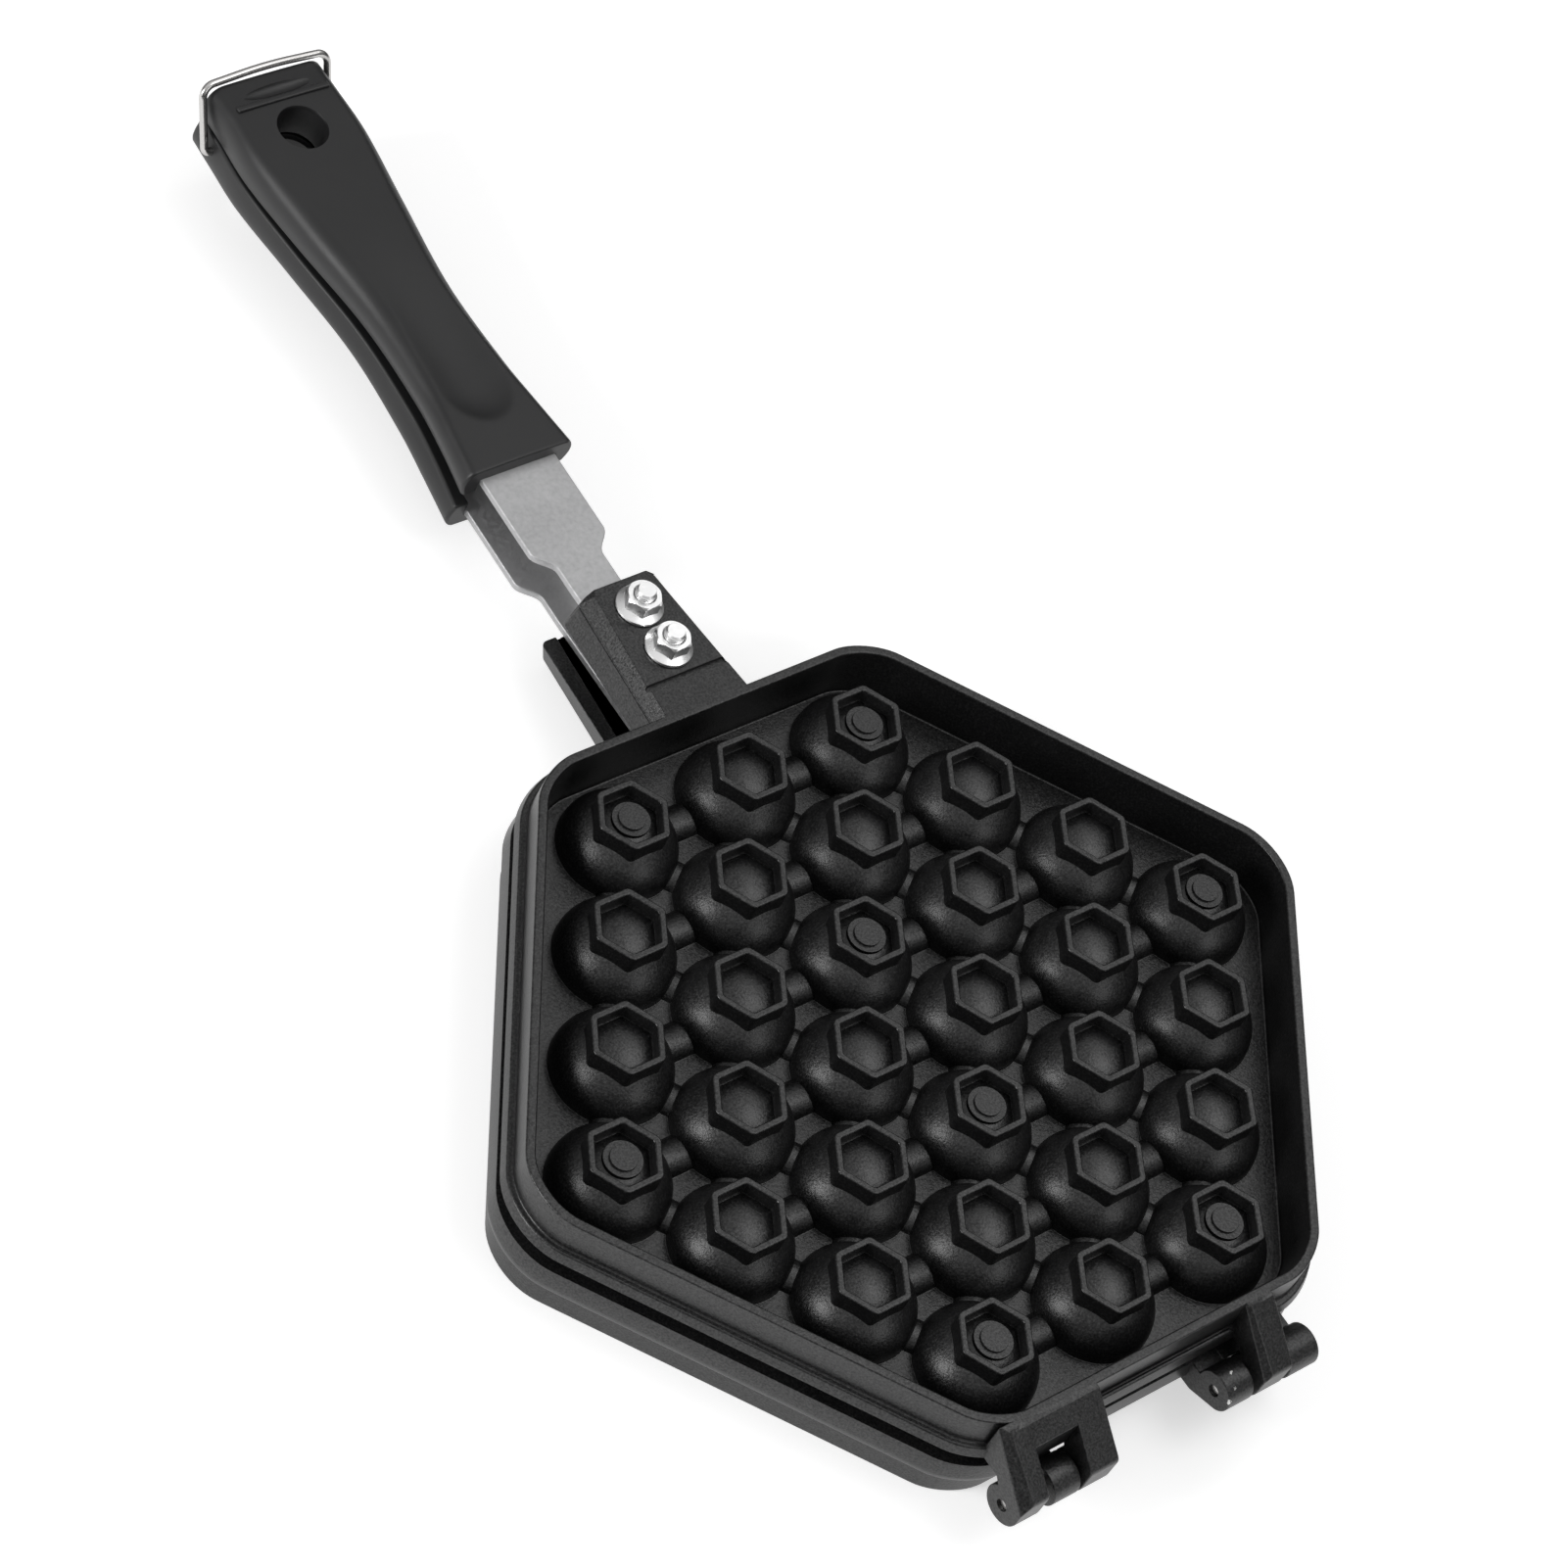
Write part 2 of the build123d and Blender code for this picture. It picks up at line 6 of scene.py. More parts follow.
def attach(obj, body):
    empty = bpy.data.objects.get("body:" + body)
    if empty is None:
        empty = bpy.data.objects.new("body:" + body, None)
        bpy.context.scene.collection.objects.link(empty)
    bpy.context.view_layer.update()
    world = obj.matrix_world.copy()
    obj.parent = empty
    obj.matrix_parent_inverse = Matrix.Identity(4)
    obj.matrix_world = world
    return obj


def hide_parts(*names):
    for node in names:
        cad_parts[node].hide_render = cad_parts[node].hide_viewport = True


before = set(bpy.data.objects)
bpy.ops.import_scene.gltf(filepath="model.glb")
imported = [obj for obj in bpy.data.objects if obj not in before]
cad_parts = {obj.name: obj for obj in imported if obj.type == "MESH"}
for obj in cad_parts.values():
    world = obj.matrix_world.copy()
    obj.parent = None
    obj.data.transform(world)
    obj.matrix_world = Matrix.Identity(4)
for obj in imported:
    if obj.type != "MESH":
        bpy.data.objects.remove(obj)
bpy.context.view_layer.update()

# ------------------------------------------------------------------ the two castings
# Each half is one aluminium pressure die casting: thirty thin domes with a hexagonal ring on
# each, bridges between them, a flanged rim, the handle's bracket and the hinge lugs. It comes
# out of the die with rounded edges and is sprayed all over with a grained black release coat.
mm = 0.001
mid = 16.5                                  # the plane where the halves meet
pitch, row_step, rows = 34.0, 24.0, 7
slant = atan2(pitch / 2, row_step)
egg, shell = 12.4, 14.2                     # inside and outside of a dome
plate_low, plate_high = 0.1, 2.1            # above the mid plane
crown = 16.5                                # tops of the rim and the rings
skirt = 1.2                                 # how deep domes and bridges are sunk into the plate
pad = crown - 0.5                           # top of the brackets, where the nuts stand
bolt_rows, bolt_hole = (107.4, 119.8), 2.7  # the bolts' distances from the pan's middle, and their holes


def only(piece):
    bpy.ops.object.select_all(action="DESELECT")
    piece.select_set(True)
    bpy.context.view_layer.objects.active = piece


def edit(kind):
    bpy.ops.object.mode_set(mode="EDIT")
    bpy.ops.mesh.select_mode(type=kind)


def done():
    bpy.ops.object.mode_set(mode="OBJECT")


def take(primitive, at=(0, 0, 0), turn=(0, 0, 0), **sizes):
    """Add a primitive, placed in its own mesh. Decimal sizes are millimetres, whole ones are counts."""
    bpy.ops.object.select_all(action="DESELECT")
    lengths = {k: v * mm for k, v in sizes.items() if isinstance(v, float)}
    counts = {k: v for k, v in sizes.items() if not isinstance(v, float)}
    getattr(bpy.ops.mesh, f"primitive_{primitive}_add")(
        location=[c * mm for c in at], rotation=turn, **lengths, **counts)
    bpy.ops.object.transform_apply(location=True, rotation=True, scale=True)
    return bpy.context.object


def pick(kind, test):
    """In edit mode, select the vertices, edges or faces that pass the test, measured in millimetres."""
    mesh = bpy.context.object.data
    bpy.ops.mesh.select_all(action="DESELECT")
    done()
    for item in getattr(mesh, kind):
        if kind == "vertices":
            item.select = test(item.co / mm)
        elif kind == "edges":
            ends = [mesh.vertices[i].co / mm for i in item.vertices]
            item.select = test(*ends)
        else:
            item.select = test(item.center / mm, item.normal)
    bpy.ops.object.mode_set(mode="EDIT")


def pull(x=0.0, y=0.0, z=0.0):
    """Extrude what is selected by so many millimetres."""
    bpy.ops.mesh.extrude_region_move(TRANSFORM_OT_translate={"value": (x * mm, y * mm, z * mm)})


def step(inward, up):
    """Carry the selected face on: in from its edge by one amount and up by another."""
    bpy.ops.mesh.inset(thickness=inward * mm, depth=up * mm, use_even_offset=True)


def soften(width, test=lambda a, b: True, segments=3, least=35):
    """Round the edges that are sharper than the least angle and pass the test."""
    mesh = bpy.context.object.data
    bpy.ops.mesh.select_mode(type="EDGE")
    bpy.ops.mesh.select_all(action="DESELECT")
    bpy.ops.mesh.edges_select_sharp(sharpness=radians(least))
    done()
    for edge in mesh.edges:
        edge.select = edge.select and test(*(mesh.vertices[i].co / mm for i in edge.vertices))
    bpy.ops.object.mode_set(mode="EDIT")
    bpy.ops.mesh.bevel(offset=width * mm, segments=segments, profile=0.5)


def outward():
    """Merge doubles and turn every face outwards."""
    bpy.ops.mesh.select_all(action="SELECT")
    bpy.ops.mesh.remove_doubles(threshold=0.0005 * mm)
    bpy.ops.mesh.normals_make_consistent(inside=False)
    done()


def copied(piece, x, y, turn=0.0):
    """A copy with its own mesh, turned about Z and moved."""
    twin = piece.copy()
    twin.data = piece.data.copy()
    bpy.context.collection.objects.link(twin)
    twin.data.transform(Matrix.Translation((x * mm, y * mm, 0)) @ Matrix.Rotation(turn, 4, "Z"))
    return twin


def joined(pieces):
    only(pieces[0])
    for piece in pieces:
        piece.select_set(True)
    bpy.ops.object.join()
    return bpy.context.object


def combine(piece, other, how):
    """Union or difference with another closed mesh, which is used up."""
    only(piece)
    cut = piece.modifiers.new("cut", "BOOLEAN")
    cut.operation, cut.object, cut.solver = how, other, "MANIFOLD"
    bpy.ops.object.modifier_apply(modifier=cut.name)
    bpy.data.objects.remove(other)


def shaded(piece, angle=32):
    """Smooth shading that leaves wide faces flat and turns only in the rounded edges."""
    only(piece)
    bpy.ops.object.shade_smooth_by_angle(angle=radians(angle))
    flats = piece.modifiers.new("flats", "WEIGHTED_NORMAL")
    flats.keep_sharp = True
    bpy.ops.object.modifier_apply(modifier=flats.name)


def cell_centres():
    """Centres of the thirty cells; row 0 is nearest the handle, index 0 at +X."""
    centres = {}
    for row in range(rows):
        cells = 6 - abs(row - 3)
        for index in range(cells):
            centres[row, index] = (((cells - 1) / 2 - index) * pitch, (row - 3) * row_step)
    return centres


def rounded_hexagon(apothem, height):
    """The pan's plan as one face: a square cut down to six sides, its corners rounded."""
    corner, wall_apothem = 18.0, 91.4       # of the rim's wall; wider and narrower plans run beside it
    piece = take("plane", at=(0, 0, height), size=400.0)
    edit("FACE")
    for turn in (pi / 2, -pi / 2, slant, pi - slant, -slant, pi + slant):
        out = Vector((cos(turn), sin(turn), 0))
        bpy.ops.mesh.select_all(action="SELECT")
        bpy.ops.mesh.bisect(plane_co=out * apothem * mm, plane_no=out, clear_outer=True)
    radius = corner + apothem - wall_apothem
    bpy.ops.mesh.select_mode(type="VERT")
    for at_tip, angle in ((False, pi / 2 + slant), (True, pi - 2 * slant)):
        pick("vertices", lambda p: abs(p.y) < 1 if at_tip else abs(p.y) > apothem - 0.5)
        bpy.ops.mesh.bevel(affect="VERTICES", offset=radius / tan(angle / 2) * mm, segments=12,
                           profile=0.5)
    bpy.ops.mesh.select_mode(type="FACE")
    bpy.ops.mesh.select_all(action="SELECT")
    return piece


def tray(is_lower):
    """Rim and plate of one half, above the mid plane, made by insets from the flange's widest plan."""
    flange, shelf, floor = 4.8, 7.8, plate_high
    widest, foot, wall_foot = 94.0, 90.5, 91.7
    shoulder, outer_draft, wall, inner_draft = 0.8, 0.3, 2.3, 0.75
    lip_draft, lip_end, edge = 0.7, 0.3, 0.45
    piece = rounded_hexagon(widest, flange)
    step(shoulder, shelf - flange)
    step(widest - shoulder - wall_foot, 0)
    step(outer_draft, crown - shelf)
    step(wall, 0)
    step(inner_draft, floor - crown)
    bpy.ops.mesh.select_mode(type="EDGE")
    bpy.ops.mesh.select_all(action="DESELECT")
    bpy.ops.mesh.select_non_manifold()
    bpy.ops.mesh.edge_face_add()
    bpy.ops.mesh.select_all(action="SELECT")
    bpy.ops.mesh.normals_make_consistent(inside=False)
    bpy.ops.mesh.select_mode(type="FACE")
    pick("polygons", lambda p, n: n.z < -0.9 and abs(p.z - flange) < 0.1)
    if is_lower:
        step(lip_draft, flange - lip_end)
        step(widest - lip_draft - foot, 0)
        step(0, lip_end - plate_low)
    else:
        step(widest - foot, 0)
        step(0, flange - plate_low)
    soften(edge, lambda a, b: min(a.z, b.z) > 1 and abs(a.z - floor) > 0.1)
    done()
    return piece


def dome():
    """Outside of one cell: the top of a full-sided ball that turns out onto the plate, closed underneath."""
    fillet = 0.25
    wider_foot, belly, height_to_top = 1.02, 0.055, 12.0
    reach = sqrt((shell + fillet) ** 2 - (plate_high + fillet) ** 2)
    height = (plate_high + fillet) * shell / (shell + fillet)
    radius = sqrt(shell ** 2 - height ** 2)
    piece = take("uv_sphere", segments=56, ring_count=32, radius=shell)
    edit("VERT")
    bpy.ops.mesh.select_all(action="SELECT")
    bpy.ops.mesh.bisect(plane_co=(0, 0, height * mm), plane_no=(0, 0, 1), clear_inner=True)
    start = atan2(height - plate_high - fillet, radius - reach)
    for share in (0.5, 1.0):
        turn = start + (-pi / 2 - start) * share
        wider, lower = reach + fillet * cos(turn), plate_high + fillet * (1 + sin(turn))
        pull(z=lower - height)
        bpy.ops.transform.resize(value=(wider / radius, wider / radius, 1),
                                 center_override=(0, 0, lower * mm))
        radius, height = wider, lower
    pull(z=-skirt)
    bpy.ops.mesh.edge_face_add()
    outward()
    for vertex in piece.data.vertices:
        share = min(max((vertex.co.z / mm - plate_high) / height_to_top, 0), 1)
        fuller = wider_foot + belly * sin(pi * share)
        vertex.co.x *= fuller
        vertex.co.y *= fuller
    return piece


def prism(radius, low, high, corner):
    """Upright hexagonal prism with rounded corners; the top face is left selected."""
    piece = take("cylinder", at=(0, 0, (low + high) / 2), turn=(0, 0, pi / 6), vertices=6, radius=radius,
                 depth=float(high - low))
    edit("EDGE")
    pick("edges", lambda a, b: abs(a.z - b.z) > 1)
    bpy.ops.mesh.bevel(offset=corner * mm, segments=4, profile=0.5)
    bpy.ops.mesh.select_mode(type="FACE")
    pick("polygons", lambda p, n: n.z > 0.9)
    return piece


def flare(rise, ratio):
    """Carry the selected face up and wider about the Z axis."""
    pull(z=rise)
    bpy.ops.transform.resize(value=(ratio, ratio, 1), center_override=(0, 0, 0))


def ring():
    """Hexagonal stacking ring with a rounded lip and a narrow ledge inside."""
    outer, inner, ledge = 9.6, 7.7, crown - 3.7
    root, lip, ledge_width = 6.0, 0.42, 0.3
    piece = prism(outer, root, crown, 0.9)
    bpy.ops.mesh.region_to_loop()
    bpy.ops.mesh.bevel(offset=lip * mm, segments=3, profile=0.5)
    outward()
    pocket = prism(inner, ledge, crown - lip, 0.5)
    for rise, ratio in ((0.2, 1.012), (0.14, 1.022), (0.1, 1.03)):
        flare(rise, ratio)
    outward()
    combine(piece, pocket, "DIFFERENCE")
    floor = prism(inner - ledge_width, root - 1, ledge + 1, 0.4)
    outward()
    combine(piece, floor, "DIFFERENCE")
    return piece


def bar(reach, length):
    """Round bar along X with its foot turned out onto the plate: one bridge between two domes."""
    fillet = 0.2
    piece = take("cylinder", turn=(0, pi / 2, 0), vertices=48, radius=reach, depth=length)
    height = (plate_high + fillet) * reach / (reach + fillet)
    edit("VERT")
    bpy.ops.mesh.select_all(action="SELECT")
    bpy.ops.mesh.bisect(plane_co=(0, 0, height * mm), plane_no=(0, 0, 1), clear_inner=True)
    half = sqrt(reach ** 2 - height ** 2)
    wider = sqrt((reach + fillet) ** 2 - (plate_high + fillet) ** 2)
    pull(z=plate_high - height)
    bpy.ops.transform.resize(value=(1, wider / half, 1))
    pull(z=-skirt)
    bpy.ops.mesh.edge_face_add()
    outward()
    return piece


def bridges(centres, piece):
    """A copy of a bar that lies along X between every two neighbouring cells."""
    spots = list(centres.values())
    neighbours = pitch * 1.02
    found = []
    for i, a in enumerate(spots):
        for b in spots[i + 1:]:
            gap = hypot(a[0] - b[0], a[1] - b[1])
            if gap < neighbours:
                turn = atan2(b[1] - a[1], b[0] - a[0])
                found.append(copied(piece, (a[0] + b[0]) / 2, (a[1] + b[1]) / 2, turn))
    bpy.data.objects.remove(piece)
    return joined(found)


def spread(piece, spots):
    """Copies of a piece at each of the spots, in one mesh."""
    found = [copied(piece, x, y) for x, y in spots]
    bpy.data.objects.remove(piece)
    return joined(found)


def marked(radius, top):
    """Round mark that an ejector pin leaves on a dome, with a soft edge."""
    root = 11.0
    piece = take("cylinder", at=(0, 0, (top + root) / 2), vertices=40, radius=radius, depth=top - root)
    edit("EDGE")
    soften(0.15, lambda a, b: a.z > root + 1, segments=2, least=60)
    done()
    return piece


def outline(points, place):
    """A flat face through the points; place turns a pair of millimetres into a spot."""
    spots = [Vector(place(*point)) for point in points]
    piece = take("plane", at=spots[0], size=1.0)
    edit("VERT")
    bpy.ops.mesh.select_all(action="SELECT")
    bpy.ops.mesh.merge(type="CENTER")
    for near, far in zip(spots, spots[1:]):
        pull(*(far - near))
    bpy.ops.mesh.select_all(action="SELECT")
    bpy.ops.mesh.edge_face_add()
    bpy.ops.mesh.select_mode(type="FACE")
    bpy.ops.mesh.select_all(action="SELECT")
    return piece


def arc(centre, radius, start, end, steps):
    """Points round an arc, by angles in degrees."""
    turns = [radians(start + (end - start) * i / steps) for i in range(steps + 1)]
    return [(centre[0] + radius * cos(t), centre[1] + radius * sin(t)) for t in turns]


def bracket(front):
    """Folded bracket over the handle strip, wider at the rim, with a rib down each side."""
    back, fold, pad_end = 89.5, 1.6, 98.6
    section = [(13.4, 6.1), (11.2, 12.5), (8.0, crown - 0.02)]
    foot_wider, fold_wider, pad_wider = 1.137, 1.243, 1.5       # at the rim, against the front end
    facet_start, facet = 7.0, (0.654, -0.377, 0.654)
    rib, rib_spread = 12.56, 2.72
    # a straight run of the front section, drawn wider towards the rim
    piece = outline(section + [(-x, z) for x, z in reversed(section)], lambda x, z: (x, -front, z))
    pull(y=front - back)
    bpy.ops.transform.resize(value=(fold_wider, 1, 1), center_override=(0, 0, 0))
    for ratio, low, high in ((foot_wider, 0, 7), (pad_wider, 16, 17)):
        pick("vertices", lambda p: p.y > -back - 1 and low < p.z < high)
        bpy.ops.transform.resize(value=(ratio / fold_wider, 1, 1), center_override=(0, 0, 0))
    bpy.ops.mesh.select_all(action="SELECT")
    bpy.ops.mesh.normals_make_consistent(inside=False)
    bpy.ops.mesh.select_mode(type="EDGE")
    pick("edges", lambda a, b: (max(a.y, b.y) < 1 - front and a.x * b.x > 0
                                and min(a.z, b.z) < 7 < max(a.z, b.z)))
    bpy.ops.mesh.bevel(offset=fold * mm, segments=6, profile=0.5)
    for side in (1, -1):
        bpy.ops.mesh.select_all(action="SELECT")
        bpy.ops.mesh.bisect(plane_co=Vector((side * facet_start, -front, crown)) * mm,
                            plane_no=(side * facet[0], *facet[1:]), use_fill=True, clear_outer=True)
    done()
    # from below: the strip's channel, and a hollow beside it in each fold
    channel = outline([(8.7, -133), (11.9, -88), (-11.9, -88), (-8.7, -133)], lambda x, y: (x, y, 2.0))
    pull(z=5.3)
    outward()
    combine(piece, channel, "DIFFERENCE")
    for side in (1, -1):
        hollow = outline([(7.2, -133), (8.7, -133), (11.2, -94), (7.2, -94)],
                         lambda x, y: (side * x, y, 3.0))
        pull(z=8.0)
        outward()
        combine(piece, hollow, "DIFFERENCE")
    # on top: the nuts' seat, a little lower than the rim, and the groove where it ends
    above = take("cube", at=(0, -pad_end - 20, pad + 10), scale=(40, 40, 20), size=1.0)
    combine(piece, above, "DIFFERENCE")
    edit("EDGE")
    soften(0.3, least=25)
    outward()
    slot = take("cube", at=(0, -99.4, 16.1), scale=(23.2, 1.9, 2.4), size=1.0)
    edit("EDGE")
    pick("edges", lambda a, b: abs(a.z - b.z) > 1)
    bpy.ops.mesh.bevel(offset=0.8 * mm, segments=4, profile=0.5)
    outward()
    combine(piece, slot, "DIFFERENCE")
    # the line that parts each rib from the fold, and the bolts' holes
    for side in (1, -1):
        lean = atan2(side * rib_spread, front - back)
        groove = take("cylinder", at=(side * rib, -(front + back) / 2, 12.5), turn=(pi / 2, 0, -lean),
                      vertices=12, radius=0.3, depth=46.0)
        combine(piece, groove, "DIFFERENCE")
    for place in bolt_rows:
        hole = take("cylinder", at=(0, -place, 12), vertices=32, radius=bolt_hole, depth=20.0)
        combine(piece, hole, "DIFFERENCE")
    return piece


hinge_y, knuckle, slope_start = 101.2, 5.0, 92.4


def arm(side, low, high, chamfer=0.0):
    """One hinge arm from its side view; the chamfer runs down its sloping edge on the +X side."""
    piece = outline(side, lambda y, z: (low, y, z))
    pull(x=high - low)
    bpy.ops.mesh.select_all(action="SELECT")
    bpy.ops.mesh.normals_make_consistent(inside=False)
    if chamfer:
        out = Vector((1, 0.61, 0.79))
        spot = Vector((high - chamfer, slope_start, crown))
        bpy.ops.mesh.bisect(plane_co=spot * mm, plane_no=out, use_fill=True, clear_outer=True)
    soften(0.3, least=40)
    outward()
    return piece


def bored(piece, low, high):
    hole = take("cylinder", at=((low + high) / 2, hinge_y, 0), turn=(0, pi / 2, 0), vertices=32,
                radius=1.52, depth=float(high - low + 2))
    combine(piece, hole, "DIFFERENCE")
    return piece


def lugs(is_lower):
    """The half's share of the two hinges: a fork for one pin and a tongue for the other."""
    round_pin = (hinge_y, 0)
    if is_lower:
        side = [(90, 0.32), (90, 7.7), (96.6, 7.4)] + arc(round_pin, knuckle, 55, -183.4, 26)
        arms = [arm(side, *span) for span in ((28.7, 36.2), (-42.5, -33.5), (-22.5, -15.0))]
        spans = [(28.7, 36.2), (-42.5, -15.0)]
        arms.append(arm([(90, 0.1), (90, 7.6), (96.0, 7.4), (96.0, 0.1)], -34.0, -22.0))
    else:
        corner = arc((104.2, 5.6), 2.0, 55, 0, 5)
        side = ([(90, 4.82), (90, 16.48), (slope_start, 16.48)] + corner
                + arc(round_pin, knuckle, 0, -223.8, 26) + [(96.2, 4.82)])
        web = [(90, 4.82), (90, 16.46), (slope_start, 16.46), (96.7, 13.2), (96.7, 4.82)]
        arms = [arm(side, 40, 47, chamfer=1.8), arm(side, 20, 28), arm(side, -31.7, -24, chamfer=0.9)]
        spans = [(20, 47), (-31.7, -24)]
        arms.append(arm(web, 27, 41))
    whole = arms[0]
    for other in arms[1:]:
        combine(whole, other, "UNION")
    for span in spans:
        bored(whole, *span)
    return whole


def casting(name, is_lower):
    """One half in one closed mesh, made above the mid plane and turned over for the lower half."""
    centres = cell_centres()
    spots = list(centres.values())
    ejected = [centres[c] for c in ((0, 0), (0, 2), (2, 2), (3, 0), (3, 5), (4, 2), (6, 0), (6, 2))]
    bridge, batter_way = 5.0, 3.0           # a bridge's radius outside and inside
    piece = tray(is_lower)
    piece.name = piece.data.name = name
    combine(piece, spread(dome(), spots), "UNION")
    combine(piece, bridges(centres, bar(bridge, 10.0)), "UNION")
    combine(piece, spread(ring(), spots), "UNION")
    combine(piece, spread(marked(4.6, crown - 2.0), ejected), "UNION")
    combine(piece, spread(marked(3.2, crown - 1.4), ejected), "UNION")
    combine(piece, spread(take("uv_sphere", segments=56, ring_count=28, radius=egg), spots), "DIFFERENCE")
    channel = take("cylinder", turn=(0, pi / 2, 0), vertices=32, radius=batter_way, depth=13.0)
    combine(piece, bridges(centres, channel), "DIFFERENCE")
    combine(piece, bracket(131.0 if is_lower else 128.0), "UNION")
    combine(piece, lugs(is_lower), "UNION")
    if not is_lower:
        bead = take("cylinder", at=(-1.0, 92.7, 7.75), turn=(0, pi / 2, 0), vertices=24, radius=0.6,
                    depth=43.0)
        edit("EDGE")
        soften(0.4, least=60)
        done()
        combine(piece, bead, "UNION")
    flip = Matrix.Diagonal((1, 1, -1 if is_lower else 1, 1))
    piece.data.transform(Matrix.Translation((0, 0, mid * mm)) @ flip)
    only(piece)
    edit("VERT")
    outward()
    shaded(piece)
    return piece


def surface(name, **sockets):
    """A new material, its tree and its shader, with the constants set on the shader's own sockets."""
    material = bpy.data.materials.new(name)
    material.use_nodes = True
    shader = material.node_tree.nodes["Principled BSDF"]
    for socket, value in sockets.items():
        shader.inputs[socket.replace("_", " ")].default_value = value
    return material, material.node_tree, shader


def added(tree, kind, links=(), **values):
    """A node with its settings, sockets and incoming links."""
    node = tree.nodes.new(f"ShaderNode{kind}")
    for key, value in values.items():
        if hasattr(node, key):
            setattr(node, key, value)
        else:
            node.inputs[key.replace("_", " ")].default_value = value
    for socket, source in dict(links).items():
        tree.links.new(source, node.inputs[socket])
    return node


def placed(tree):
    return added(tree, "TexCoord").outputs["Object"]


def noise(tree, scale, detail=3.0, stretch=None):
    """Noise by the object's own metres, so that a scale of 1000 has millimetre blobs."""
    where = placed(tree)
    if stretch:
        where = added(tree, "Mapping", {"Vector": where}, Scale=stretch).outputs["Vector"]
    return added(tree, "TexNoise", {"Vector": where}, Scale=scale, Detail=detail).outputs["Fac"]


def ranged(tree, source, low, high, start=0.3, end=0.7):
    return added(tree, "MapRange", {"Value": source}, From_Min=start, From_Max=end,
                 To_Min=low, To_Max=high).outputs["Result"]


def mixed(tree, share, dark, light):
    """A colour between two greys or colours; either may be a link."""
    node = added(tree, "Mix", {"Factor": share}, data_type="RGBA")
    for socket, colour in ((node.inputs[6], dark), (node.inputs[7], light)):
        if isinstance(colour, tuple):
            socket.default_value = (*colour, 1)
        else:
            tree.links.new(colour, socket)
    return node.outputs[2]


def roughened(tree, shader, height, depth):
    """Bump of a real depth in metres."""
    bump = added(tree, "Bump", {"Height": height}, Strength=1.0, Distance=depth)
    tree.links.new(bump.outputs["Normal"], shader.inputs["Normal"])


def rubbed(tree, spots, uneven):
    """1 inside ragged spots, each given by its centre and radius in millimetres, and 0 elsewhere."""
    ragged = ranged(tree, uneven, -0.0005, 0.0005)
    bare = None
    for *centre, radius in spots:
        apart = added(tree, "VectorMath", {0: placed(tree)}, operation="DISTANCE")
        apart.inputs[1].default_value = Vector(centre) * mm
        edge = added(tree, "Math", {0: apart.outputs["Value"], 1: ragged}, operation="ADD")
        inside = added(tree, "Math", {0: edge.outputs[0]}, operation="LESS_THAN")
        inside.inputs[1].default_value = radius * mm
        if bare:
            inside = added(tree, "Math", {0: inside.outputs[0], 1: bare}, operation="MAXIMUM")
        bare = inside.outputs[0]
    return bare


def release_coat():
    """Black grained release coat, rubbed through to bare metal in a few spots on the hinges."""
    material, tree, shader = surface("release_coat", IOR=1.5)
    grain = noise(tree, 1900.0, 4.0)
    cloud = noise(tree, 90.0, 4.0)
    worn = [(-18.3, 100.5, 21.4, 0.3), (-17.1, 104.0, 20.6, 0.2), (-15.1, 105.6, 18.6, 0.5),
            (-31.1, 104.9, 19.8, 0.3)]
    bare = rubbed(tree, worn, grain)
    black = mixed(tree, ranged(tree, cloud, 0, 1), (0.0042, 0.0042, 0.0044), (0.0066, 0.0066, 0.0068))
    black = mixed(tree, ranged(tree, grain, 0, 1, 0.55, 0.75), black, (0.013, 0.013, 0.013))
    black = mixed(tree, bare, black, (0.62, 0.62, 0.61))
    tree.links.new(black, shader.inputs["Base Color"])
    tree.links.new(bare, shader.inputs["Metallic"])
    tree.links.new(ranged(tree, grain, 0.30, 0.44), shader.inputs["Roughness"])
    tree.links.new(ranged(tree, grain, 0.32, 0.8), shader.inputs["Specular IOR Level"])
    roughened(tree, shader, grain, 0.00007)
    return material


coat = release_coat()


def fitted(piece, name, body, finish, slot, *nodes):
    """Name a finished piece, give it its material, and let it ride in place of its nodes."""
    piece.name = piece.data.name = name
    piece.data.materials.clear()
    piece.data.materials.append(finish)
    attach(piece, body)
    if nodes:
        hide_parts(*nodes)
    return piece


for half in ("upper", "lower"):
    cast = ("cell_row", "rim", "handle_bracket", "hinge_clevis", "hinge_tongue")
    stood_for = [node for node in sorted(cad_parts)
                 if node.startswith(tuple(f"{half}_{form}" for form in cast))]
    fitted(casting(f"{half}_casting", half == "lower"), f"{half}_casting", f"{half}_half", coat,
           "coated_casting", *stood_for)


# ------------------------------------------------------------------ hinge pins
# Two ground steel pins, pressed into the forks and ending just inside their outer faces. The
# ends are chamfered so that they start into the bore.
def blank_metal(name, grey, roughness, streak=None, depth=0.000004):
    """Bare metal with fine marks; streak stretches them along the way it was worked."""
    material, tree, shader = surface(name, Metallic=1.0)
    marks = noise(tree, 900.0, 4.0, streak)
    cloud = noise(tree, 70.0, 3.0)
    tree.links.new(mixed(tree, ranged(tree, cloud, 0, 1), tuple(g * 0.9 for g in grey), grey),
                   shader.inputs["Base Color"])
    tree.links.new(ranged(tree, marks, roughness * 0.85, roughness * 1.2), shader.inputs["Roughness"])
    roughened(tree, shader, marks, depth)
    return material


